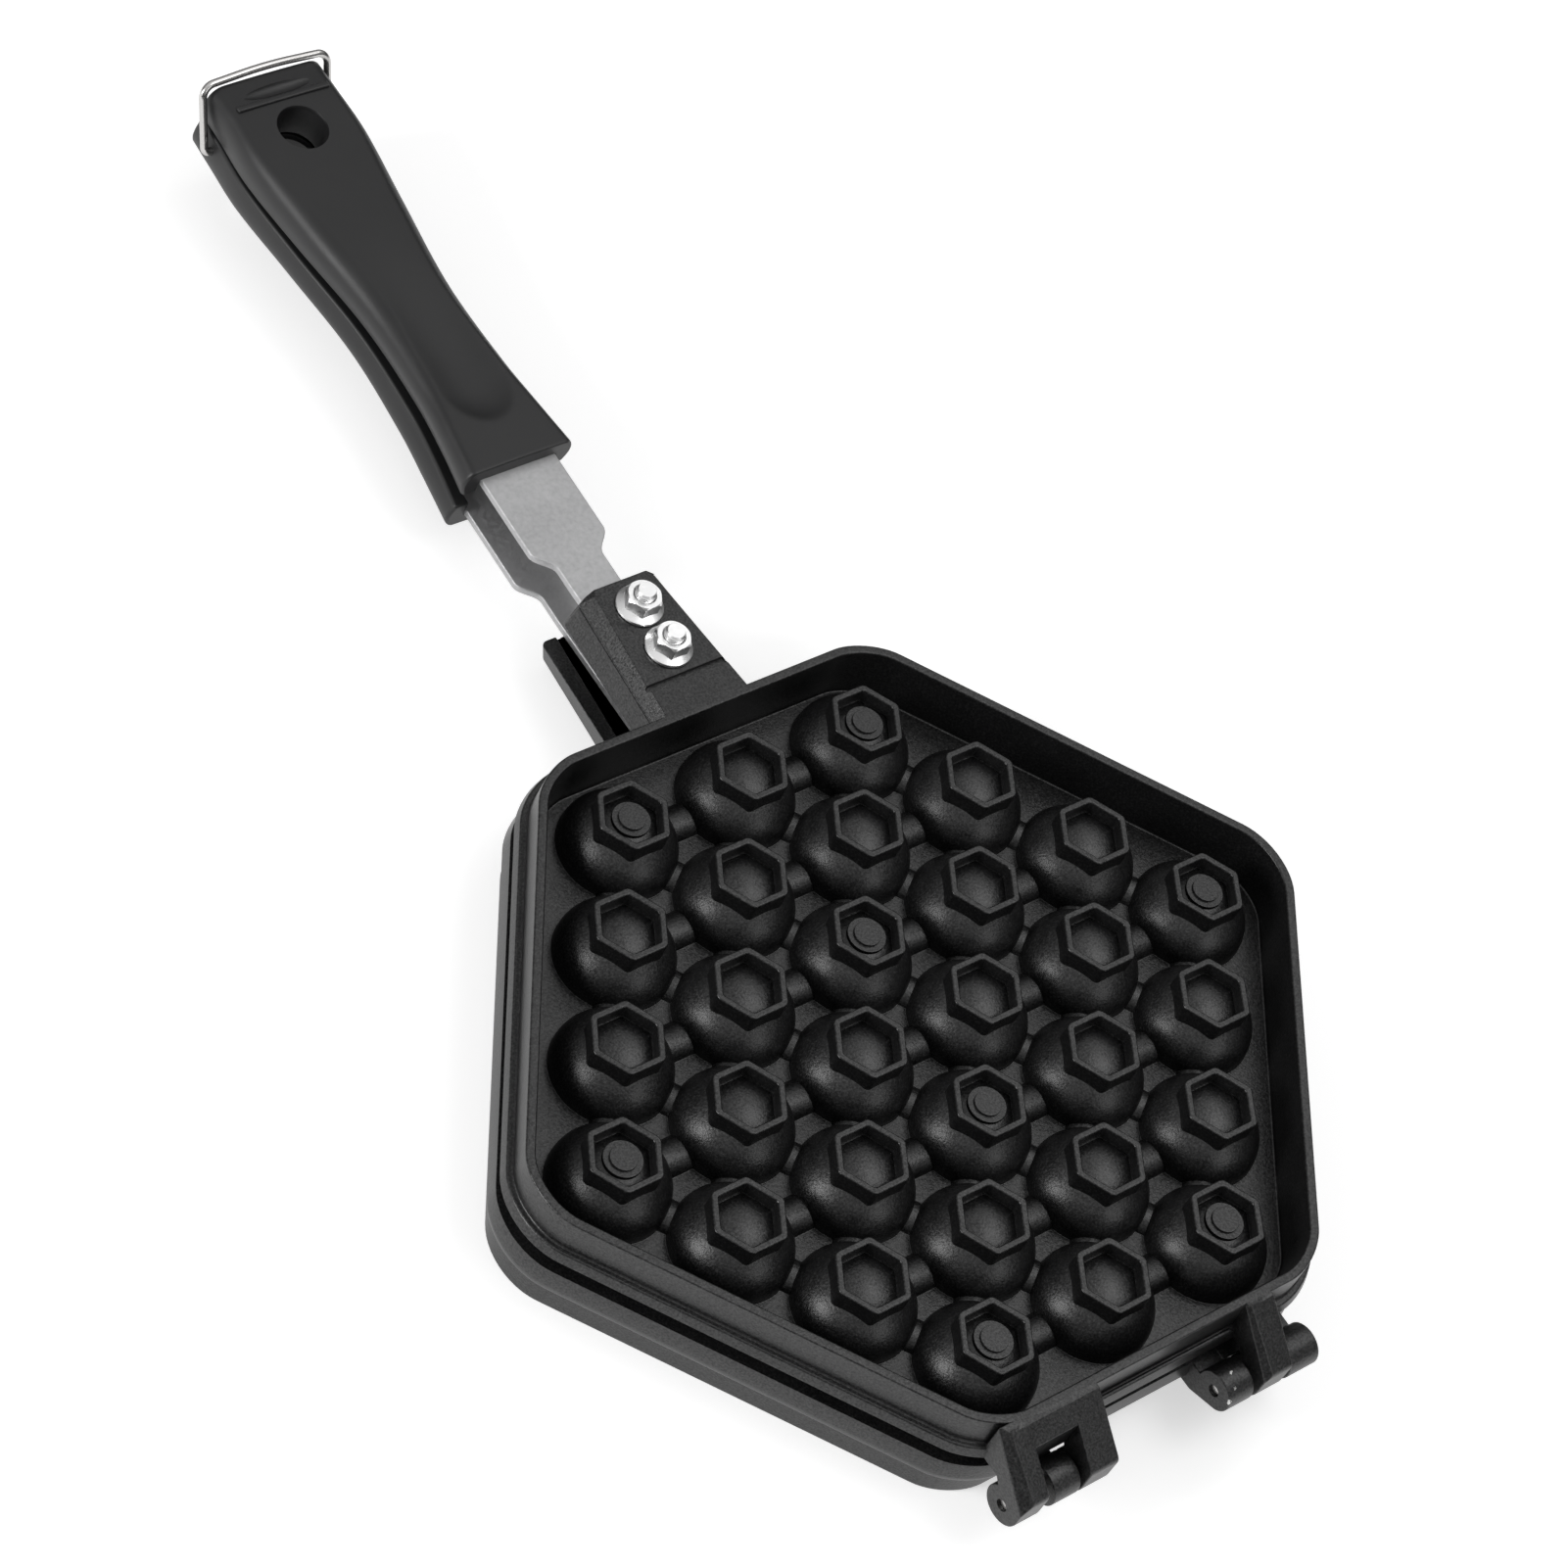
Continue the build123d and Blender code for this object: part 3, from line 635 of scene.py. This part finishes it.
pin_finish = blank_metal("ground_steel", (0.62, 0.61, 0.60), 0.3)
for half, low, high in (("upper", 20.8, 46.2), ("lower", -41.7, -15.8)):
    pin = take("cylinder", at=((low + high) / 2, hinge_y, mid), turn=(0, pi / 2, 0), vertices=40,
               radius=1.5, depth=high - low)
    edit("EDGE")
    soften(0.3, least=60, segments=2)
    done()
    shaded(pin)
    fitted(pin, f"{half}_pin", f"{half}_half", pin_finish, "pin_steel", f"{half}_hinge_pin")


# ------------------------------------------------------------------ handle strips
# Blanked from 2 mm steel strip and nickel plated: a neck under the bracket, a wider blade that
# is bent up where it leaves the neck, and a narrow tang inside the grip.
bend, rise = 134.0, radians(2.7)
strip_face, strip_metal = 7.3, 2.0
strip_inner = strip_face - strip_metal
tang_end = 127.0                            # from the bend


def along_handle():
    """Turns the handle's own place, with its length from the bend, into the pan's."""
    return Matrix.Translation((0, -bend * mm, mid * mm)) @ Matrix.Rotation(-rise, 4, "X")


def half_widths():
    """Half width of the strip's plan at each distance from the bend."""
    neck, blade, tang = 6.45, 10.8, 5.5
    start, run = 6.5, 6.5
    shoulder = [(start + run * i / 10, neck + (blade - neck) * (1 - cos(pi * i / 10)) / 2)
                for i in range(11)]
    return [(-37.5, neck), (0, neck)] + shoulder + [(39, blade), (43, tang), (tang_end, tang)]


def strip(side):
    """One strip; side is 1 for the upper half and -1 for the lower."""
    plan = [(half, -u) for u, half in half_widths()]
    low = side * strip_inner
    piece = outline(plan + [(-x, y) for x, y in reversed(plan)], lambda x, y: (x, y, low))
    pull(z=side * strip_metal)
    bpy.ops.mesh.select_all(action="SELECT")
    bpy.ops.mesh.normals_make_consistent(inside=False)
    soften(0.35, least=25)
    bpy.ops.mesh.select_all(action="SELECT")
    bpy.ops.mesh.bisect(plane_co=(0, 0, 0), plane_no=(0, 1, 0))
    outward()
    for place in bolt_rows:
        hole = take("cylinder", at=(0, bend - place, low), vertices=32, radius=bolt_hole, depth=8.0)
        combine(piece, hole, "DIFFERENCE")
    flat = Matrix.Translation((0, -bend * mm, mid * mm))
    bent = along_handle()
    for vertex in piece.data.vertices:
        vertex.co = (bent if vertex.co.y < 0 else flat) @ vertex.co
    shaded(piece)
    return piece


plated = blank_metal("nickel_plate", (0.50, 0.50, 0.505), 0.6)
for half, side in (("upper", 1), ("lower", -1)):
    fitted(strip(side), f"{half}_handle_strip", f"{half}_half", plated, "strip_steel", f"{half}_strip")


# ------------------------------------------------------------------ bolts and flange nuts
# Zinc plated M5 screws hold each strip to its bracket: pan heads inside the upper half with
# flange nuts outside, and countersunk heads flush with the lower bracket, nuts inside.
def turned(profile, at, vertices=48):
    """Turned form on a vertical axis: a disc carried from one radius and height to the next."""
    (radius, height), *rest = profile
    piece = take("circle", at=(*at, height), vertices=vertices, radius=float(radius), fill_type="NGON")
    edit("FACE")
    bpy.ops.mesh.select_all(action="SELECT")
    for wider, higher in rest:
        pull(z=higher - height)
        ratio = wider / radius
        bpy.ops.transform.resize(value=(ratio, ratio, 1),
                                 center_override=(at[0] * mm, at[1] * mm, higher * mm))
        radius, height = wider, higher
    outward()
    return piece


def thread(low, high):
    """Profile of a threaded end with a chamfered tip."""
    radius, lead, groove, tip = 2.5, 0.62, 0.4, 0.5
    turns = int((high - low - tip) / lead)
    profile = []
    for i in range(turns):
        start = high - tip - (turns - i) * lead
        profile += [(radius - groove, start), (radius, start + 0.3), (radius, start + 0.42)]
    return profile + [(radius - 0.35, high - 0.45), (radius - 0.12, high - 0.3), (radius - 0.45, high)]


def crossed(piece, y, top, reach=2.4, depth=1.6):
    """Cut a cross recess into a screw's head, which faces up or down."""
    width = 0.9
    for turn in (0, pi / 2):
        slot = take("cube", at=(0, y, top), turn=(0, 0, turn), scale=(2 * reach, width, 2 * depth), size=1.0)
        combine(piece, slot, "DIFFERENCE")
    return piece


def flange_nut(y, seat):
    """Chamfered hexagon on a coned flange with a rounded edge, standing on its seat."""
    body = turned([(4.5, seat + 0.4), (4.7, seat + 4.0), (4.5, seat + 4.4), (4.0, seat + 5.0)], (0, y))
    hexagon = take("cylinder", at=(0, y, seat + 2.8), turn=(0, 0, pi / 6), vertices=6, radius=4.62,
                   depth=5.2)
    edit("EDGE")
    soften(0.15, lambda a, b: abs(a.z - b.z) > 2, segments=2)
    outward()
    combine(body, hexagon, "INTERSECT")
    flange = turned([(5.6, seat), (5.85, seat + 0.2), (5.9, seat + 0.5), (5.75, seat + 0.85),
                     (5.4, seat + 1.05), (4.0, seat + 1.75), (3.0, seat + 1.8)], (0, y))
    combine(body, flange, "UNION")
    bore = turned([(2.55, seat - 1), (2.55, seat + 4.6), (2.9, seat + 5.0), (3.2, seat + 5.5)], (0, y))
    combine(body, bore, "DIFFERENCE")
    return body


def below(piece):
    """Mirror a piece into the lower half."""
    piece.data.transform(Matrix.Diagonal((1, 1, -1, 1)))
    only(piece)
    edit("VERT")
    outward()
    return piece


shank = 2.4


def pan_bolt(y):
    """Bolt of the upper strip: a low pan head under it and a threaded end above its nut."""
    head = [(1.0, strip_inner - 2.8), (3.0, strip_inner - 2.8), (4.1, strip_inner - 2.35),
            (4.5, strip_inner - 1.6), (4.6, strip_inner - 0.9), (4.6, strip_inner), (shank, strip_inner),
            (shank, pad + 4.2)]
    bolt = turned(head + thread(pad + 4.2, pad + 6.8), (0, y))
    return crossed(bolt, y, strip_inner - 2.8)


def flush_bolt(y):
    """Bolt of the lower strip: its head is sunk into the bracket's underside."""
    end = [(r, 2 * strip_inner - z) for r, z in reversed(thread(strip_inner + 2.0, strip_inner + 6.8))]
    stem = end + [(shank, strip_inner), (shank, pad - 2.6), (4.75, pad - 0.2), (4.75, pad)]
    return below(crossed(turned(stem, (0, y)), y, pad))


zinc = blank_metal("zinc_plate", (0.90, 0.90, 0.90), 0.3)
for half in ("upper", "lower"):
    bolts, nuts = [], []
    for place in bolt_rows:
        bolts.append(pan_bolt(-place) if half == "upper" else flush_bolt(-place))
        nut = flange_nut(-place, pad if half == "upper" else 0.0)
        if half == "lower":
            nut.data.transform(Matrix.Translation((0, 0, -strip_inner * mm)))
        nuts.append(nut)
    for name, pieces, node in (("strip_bolts", bolts, "bolts"), ("strip_nuts", nuts, "flange_nuts")):
        group = joined(pieces)
        group.data.transform(Matrix.Translation((0, 0, mid * mm)))
        shaded(group)
        fitted(group, f"{half}_{name}", f"{half}_half", zinc, "zinc_fastener", f"{half}_{node}")


# ------------------------------------------------------------------ grips
# Compression moulded black phenolic, one on each strip. The top is a flat crowned face with a
# long dished finger rest, parted from the concave flanks by a soft crease, and a rib near the
# tip stops the bail. A round hanging hole goes through both.
wire = 1.0                                  # radius of the bail's wire
grip_start, grip_end = 35.0, 155.3
eye_from_bend, eye_height = 147.5, 4.0      # where the bail's ends sit in the lower grip
hole_from_bend, rib_from_bend = 137.5, 147.0
# from the bend, half width at the crease, at the widest line and at the inner face
grip_plan = [(35, 13.8, 15.8, 15.0), (48, 12.0, 14.0, 12.8), (62, 10.1, 12.5, 11.3),
             (86, 8.6, 11.9, 11.2), (112, 11.0, 14.6, 14.4), (133, 13.8, 16.7, 16.4),
             (147, 13.8, 16.3, 15.8), (155.3, 13.2, 16.2, 15.7)]


def smooth_at(u, column):
    """Value of one column of the plan at u, on a smooth curve through its rows."""
    rows_before = [row for row in grip_plan if row[0] <= u]
    i = min(max(len(rows_before) - 1, 0), len(grip_plan) - 2)

    def slope(j):
        low, high = grip_plan[max(j - 1, 0)], grip_plan[min(j + 1, len(grip_plan) - 1)]
        return (high[column] - low[column]) / (high[0] - low[0])

    a, b = grip_plan[i], grip_plan[i + 1]
    span = b[0] - a[0]
    t = (u - a[0]) / span
    return ((2 * t ** 3 - 3 * t ** 2 + 1) * a[column] + (t ** 3 - 2 * t ** 2 + t) * span * slope(i)
            + (3 * t ** 2 - 2 * t ** 3) * b[column] + (t ** 3 - t ** 2) * span * slope(i + 1))


def grip_half_section(u):
    """Right half of the section, from the middle of the inner face round to the middle of the top."""
    crease, side, foot = (smooth_at(u, column) for column in (1, 2, 3))
    low_at_pan, closing, top, crowned, inner_round = 2.4, 2.15, 10.9, 0.25, 0.9
    fall, belly_height = 0.3, 7.5           # the top falls away past the rib
    low = low_at_pan - closing * (u - grip_start) / (grip_end - grip_start)
    high = top - fall * max(0.0, (u - rib_from_bend) / (grip_end - rib_from_bend))
    points = [(foot * i / 10 - inner_round * i / 10, low) for i in range(11)]
    points += [(foot - inner_round + inner_round * sin(t), low + inner_round * (1 - cos(t)))
               for t in (radians(a) for a in (20, 40, 60, 80))]
    start = Vector((foot, low + inner_round))
    end = Vector((crease, high))
    belly = Vector((side, belly_height))
    for i in range(17):
        t = i / 16
        mean = 2 * belly - (start + end) / 2
        points.append(tuple((1 - t) ** 2 * start + 2 * t * (1 - t) * mean + t ** 2 * end))
    for i in range(1, 19):
        x = crease * (1 - i / 18)
        points.append((x, high + crowned * (1 - (x / crease) ** 2)))
    return points


def eased(points, first, last):
    """Soften the polyline's corners between two of its points."""
    return [tuple((a + 2 * b + c) / 4 for a, b, c in zip(*points[i - 1:i + 2])) if first < i < last
            else points[i] for i in range(len(points))]


def dished(x, u):
    """Depth of the finger rest: a long hollow with soft sides, widest and deepest near the pan."""
    foot, middle, top = 47.0, 58.0, 106.0
    half_width, narrower, depth = 9.6, 3.4, 1.25
    if not foot < u < top:
        return 0.0
    share = (middle - u) / (middle - foot) if u < middle else (u - middle) / (top - middle)
    reach = half_width * sqrt(1 - share ** 2) if u < middle else half_width - narrower * share
    fall = 1 - share ** 3 if u < middle else (1 + cos(pi * share)) / 2
    across = min(1.0, abs(x) / max(reach, 0.1))
    return depth * fall * (1 - across ** 2.2) ** 1.3


def grip_stations():
    """Distances along the grip, closer together at its rounded ends."""
    edge = [0.0, 0.08, 0.25, 0.5, 0.85, 1.3, 1.9]
    first, last, steps = grip_start + edge[-1], grip_end - edge[-1], 110
    middle = [first + (last - first) * i / steps for i in range(1, steps)]
    return [grip_start + e for e in edge] + middle + [grip_end - e for e in reversed(edge)]


def end_inset(u, radius):
    """How far the rounded end draws the section in."""
    near = min(u - grip_start, grip_end - u)
    if near >= radius:
        return 0.0
    return radius - sqrt(radius ** 2 - (radius - near) ** 2)


def grip(is_upper):
    """A tube of sections from one end to the other, with its ends closed, then cut."""
    stations = grip_stations()
    rings = []
    for u in stations:
        half = eased(grip_half_section(u), 28, 34)
        half = [(x, z - (dished(x, u) if z > 9 else 0)) for x, z in half]
        loop = half + [(-x, z) for x, z in reversed(half[1:-1])]
        narrow, flat = end_inset(u, 0.9), end_inset(u, 0.5)
        wide = max(x for x, z in loop)
        low, high = min(z for x, z in loop), max(z for x, z in loop)
        middle = (low + high) / 2
        rings.append([(x * (1 - narrow / wide), middle + (z - middle) * (1 - 2 * flat / (high - low)))
                      for x, z in loop])
    around = len(rings[0])
    piece = take("grid", size=1.0, x_subdivisions=around, y_subdivisions=len(stations) - 1)
    for vertex in piece.data.vertices:
        i = round((vertex.co.x / mm + 0.5) * around)
        j = round((vertex.co.y / mm + 0.5) * (len(stations) - 1))
        x, z = rings[j][i % around]
        vertex.co = Vector((x, -stations[j], z)) * mm
    edit("VERT")
    outward()
    edit("EDGE")
    bpy.ops.mesh.select_all(action="DESELECT")
    bpy.ops.mesh.select_non_manifold()
    bpy.ops.mesh.edge_face_add()
    outward()
    return cut_grip(piece, is_upper)


def cut_grip(piece, is_upper):
    """Pocket for the strip, hanging hole with rounded mouths, and the stop rib or the bail's eyes."""
    grow, rear = 0.25, 5.0
    plan = [(half + grow, -u) for u, half in half_widths() if u > 20]
    plan = [(plan[0][0], rear - grip_start)] + plan[:-1] + [(plan[-1][0], -tang_end - grow)]
    pocket = outline(plan + [(-x, y) for x, y in reversed(plan)], lambda x, y: (x, y, -1))
    pull(z=strip_face + 1.02)
    outward()
    combine(piece, pocket, "DIFFERENCE")
    hole, top, bottom = 6.2, 11.75, 0.55
    mouth = [(hole + 2.2, bottom - 2), (hole + 1.0, bottom - 0.4), (hole + 0.45, bottom + 0.1),
             (hole, bottom + 0.9)]
    lip = [(hole, top - 1.5), (hole + 0.12, top - 1.0), (hole + 0.4, top - 0.5), (hole + 0.85, top - 0.12),
           (hole + 1.5, top + 0.1), (hole + 2.5, top + 0.5)]
    combine(piece, turned(mouth + lip, (0, -hole_from_bend), 64), "DIFFERENCE")
    if is_upper:
        rib = take("cube", at=(0, -rib_from_bend, 9.9), scale=(26.4, 1.7, 3.8), size=1.0)
        edit("EDGE")
        soften(0.5, lambda a, b: min(a.z, b.z) > 11, segments=4)
        soften(0.25, lambda a, b: abs(a.z - b.z) > 1, segments=2)
        outward()
        combine(piece, rib, "UNION")
        seat = take("uv_sphere", at=(0, -149.8, 11.9), segments=64, ring_count=32, radius=1.0,
                    scale=(11, 2.1, 1.9))
        combine(piece, seat, "DIFFERENCE")
    else:
        for side in (1, -1):
            eye = take("cylinder", at=(side * 16, -eye_from_bend, eye_height), turn=(0, pi / 2, 0),
                       vertices=24, radius=wire + 0.06, depth=7.5)
            combine(piece, eye, "DIFFERENCE")
    only(piece)
    edit("VERT")
    outward()
    return piece


def phenolic():
    """Black moulded phenolic with a faint cloudy sheen and a fine pebbled skin."""
    material, tree, shader = surface("phenolic", IOR=1.55, Specular_IOR_Level=0.38)
    cloud = noise(tree, 45.0, 4.0)
    skin = noise(tree, 3200.0, 2.0)
    black = mixed(tree, ranged(tree, cloud, 0, 1), (0.0095, 0.0095, 0.0100), (0.0140, 0.0140, 0.0145))
    tree.links.new(black, shader.inputs["Base Color"])
    tree.links.new(ranged(tree, cloud, 0.40, 0.47), shader.inputs["Roughness"])
    roughened(tree, shader, skin, 0.00002)
    return material


bakelite = phenolic()
for half in ("upper", "lower"):
    handle = grip(half == "upper")
    if half == "lower":
        below(handle)
    handle.data.transform(along_handle())
    shaded(handle, 28)
    fitted(handle, f"{half}_handle_grip", f"{half}_half", bakelite, "grip_plastic", f"{half}_grip")


# ------------------------------------------------------------------ grip screws
# Two self-tapping screws in each grip go from the pocket through the tang. They are hidden while
# the pan is shut.
screw_finish = blank_metal("blackened_steel", (0.30, 0.29, 0.28), 0.35)
for half in ("upper", "lower"):
    screws = []
    head_height, stem = 1.8, 1.45
    for u in (56.0, 106.0):
        head = [(1.2, strip_inner - head_height), (2.0, strip_inner - 1.75), (2.6, strip_inner - 1.3),
                (2.8, strip_inner - 0.6), (2.8, strip_inner), (stem, strip_inner), (stem, strip_face + 1.9)]
        screw = crossed(turned(head, (0, -u), 32), -u, strip_inner - head_height, 1.6, 1.1)
        screws.append(below(screw) if half == "lower" else screw)
    group = joined(screws)
    group.data.transform(along_handle())
    shaded(group)
    fitted(group, f"{half}_tang_screws", f"{half}_half", screw_finish, "screw_steel", f"{half}_grip_screws")


# ------------------------------------------------------------------ bail
# Spring steel wire, drawn bright and bent: two turned-in ends that sit in the lower grip's eyes,
# two legs, and a slightly bowed top that swings over the tip of the upper grip.
half_span, leg, foot_bend, corner_bend, bow_radius = 18.0, 17.5, 1.5, 3.2, 120.0
bow_rise, inner_end, tip_share, tip_chamfer = 1.1, 12.5, 0.7, 0.22
bow = atan2(bow_rise, half_span)


def bent_on(steps, angle, centre):
    """Bend the wire on, to the left, about a centre in its own plane."""
    bpy.ops.mesh.spin(steps=steps, angle=-angle, center=[c * mm for c in (*centre, 0)], axis=(0, 0, 1))


bail = take("circle", at=(inner_end, 0, 0), turn=(0, pi / 2, 0), vertices=24, radius=wire * tip_share,
            fill_type="NGON")
edit("FACE")
bpy.ops.mesh.select_all(action="SELECT")
pull(x=tip_chamfer)
bpy.ops.transform.resize(value=(1, 1 / tip_share, 1 / tip_share),
                         center_override=((inner_end + tip_chamfer) * mm, 0, 0))
pull(x=half_span - foot_bend - inner_end - tip_chamfer)
bent_on(10, pi / 2, (half_span - foot_bend, foot_bend))
turn = pi / 2 - bow
trim = corner_bend * tan(turn / 2)
pull(y=leg - foot_bend - trim)
bent_on(12, turn, (half_span - corner_bend, leg - trim))
straight = hypot(half_span, bow_rise) - trim - bow_radius * tan(bow)
pull(x=-straight * cos(bow), y=straight * sin(bow))
crest = leg + bow_rise - bow_radius * (1 / cos(bow) - 1)
bent_on(8, bow, (0, crest - bow_radius))
bpy.ops.mesh.delete(type="ONLY_FACE")
done()
mirror = bail.modifiers.new("other side", "MIRROR")
mirror.merge_threshold = 0.02 * mm
bpy.ops.object.modifier_apply(modifier=mirror.name)
edit("VERT")
outward()
lean = radians(28.3)
upright = Matrix(((1, 0, 0, 0), (0, -sin(lean), -cos(lean), 0), (0, cos(lean), -sin(lean), 0),
                  (0, 0, 0, 1)))
eyes = Matrix.Translation((0, -eye_from_bend * mm, -eye_height * mm))
bail.data.transform(along_handle() @ eyes @ upright)
shaded(bail, 50)
drawn = blank_metal("drawn_wire", (0.58, 0.57, 0.56), 0.22, (1.0, 1.0, 0.1), 0.000002)
fitted(bail, "bail_wire", "bail", drawn, "bail_wire", "bail")


# ------------------------------------------------------------------ studio
# A pale floor that runs out of sight, four soft lamps and a plain sky, with the camera above
# the hinge side. White is what the camera sees of floor and sky, and lights the pan no more.
def floor_finish():
    material, tree, shader = surface("pale_floor", Roughness=0.9)
    shader.inputs["Base Color"].default_value = (0.86, 0.86, 0.86, 1)
    shader.inputs["Specular IOR Level"].default_value = 0.0
    path = added(tree, "LightPath")
    seen = added(tree, "Math", operation="MAXIMUM")
    tree.links.new(path.outputs["Is Camera Ray"], seen.inputs[0])
    bounced = added(tree, "Math", {0: path.outputs["Is Glossy Ray"], 1: path.outputs["Is Transmission Ray"]},
                    operation="MAXIMUM")
    tree.links.new(bounced.outputs[0], seen.inputs[1])
    glow = added(tree, "Emission")
    lift = added(tree, "Math", operation="MULTIPLY")
    tree.links.new(seen.outputs[0], lift.inputs[0])
    lift.inputs[1].default_value = 0.5
    tree.links.new(lift.outputs[0], glow.inputs["Strength"])
    both = added(tree, "AddShader")
    tree.links.new(shader.outputs[0], both.inputs[0])
    tree.links.new(glow.outputs[0], both.inputs[1])
    tree.links.new(both.outputs[0], tree.nodes["Material Output"].inputs["Surface"])
    return material


floor = take("plane", at=(0, 0, -0.05), size=9000.0)
floor.name = "floor"
floor.data.materials.append(floor_finish())

world = bpy.data.worlds.new("studio")
bpy.context.scene.world = world
world.use_nodes = True
sky = world.node_tree
path = added(sky, "LightPath")
upward = added(sky, "SeparateXYZ", {"Vector": added(sky, "TexCoord").outputs["Generated"]}).outputs["Z"]
overhead = ranged(sky, upward, 0.02, 0.85, 0.25, 0.95)
seen = added(sky, "Mix", {"Factor": path.outputs["Is Glossy Ray"]}, data_type="FLOAT")
seen.inputs[2].default_value = 0.35
sky.links.new(overhead, seen.inputs[3])
level = added(sky, "Mix", {"Factor": path.outputs["Is Camera Ray"]}, data_type="FLOAT")
sky.links.new(seen.outputs[0], level.inputs[2])
level.inputs[3].default_value = 1.0
sky.links.new(level.outputs[0], sky.nodes["Background"].inputs["Strength"])
sky.nodes["Background"].inputs["Color"].default_value = (1, 1, 1, 1)


def lamp(name, toward, size, level):
    """Soft box in a direction from the pan, by its brightness."""
    distance = 1.3
    light = bpy.data.lights.new(name, "AREA")
    light.shape, light.size, light.size_y = "RECTANGLE", size[0], size[1]
    light.energy = level * pi * size[0] * size[1]
    holder = bpy.data.objects.new(name, light)
    bpy.context.collection.objects.link(holder)
    holder.location = Vector(toward).normalized() * distance
    holder.rotation_euler = (-holder.location).to_track_quat("-Z", "Y").to_euler()


lamp("side_box", (0.87, -0.26, 0.43), (0.4, 0.55), 14.0)
lamp("hinge_box", (-0.2, 0.86, 0.45), (0.5, 0.4), 2.2)
lamp("top_box", (-0.34, 0.2, 0.92), (0.7, 0.7), 2.4)
lamp("far_box", (-0.54, -0.26, 0.8), (0.6, 0.6), 0.9)

view = bpy.data.cameras.new("view")
view.sensor_width = 36.0
view.lens = 108.755
stand = bpy.data.objects.new("view", view)
bpy.context.collection.objects.link(stand)
stand.location = (0.5783037, 0.2854009, 0.8672300)
stand.rotation_euler = (radians(35.3118), radians(-18.1591), radians(144.7664))
view.clip_start, view.clip_end = 0.05, 50.0
bpy.context.scene.camera = stand
bpy.context.scene.view_settings.view_transform = "Standard"
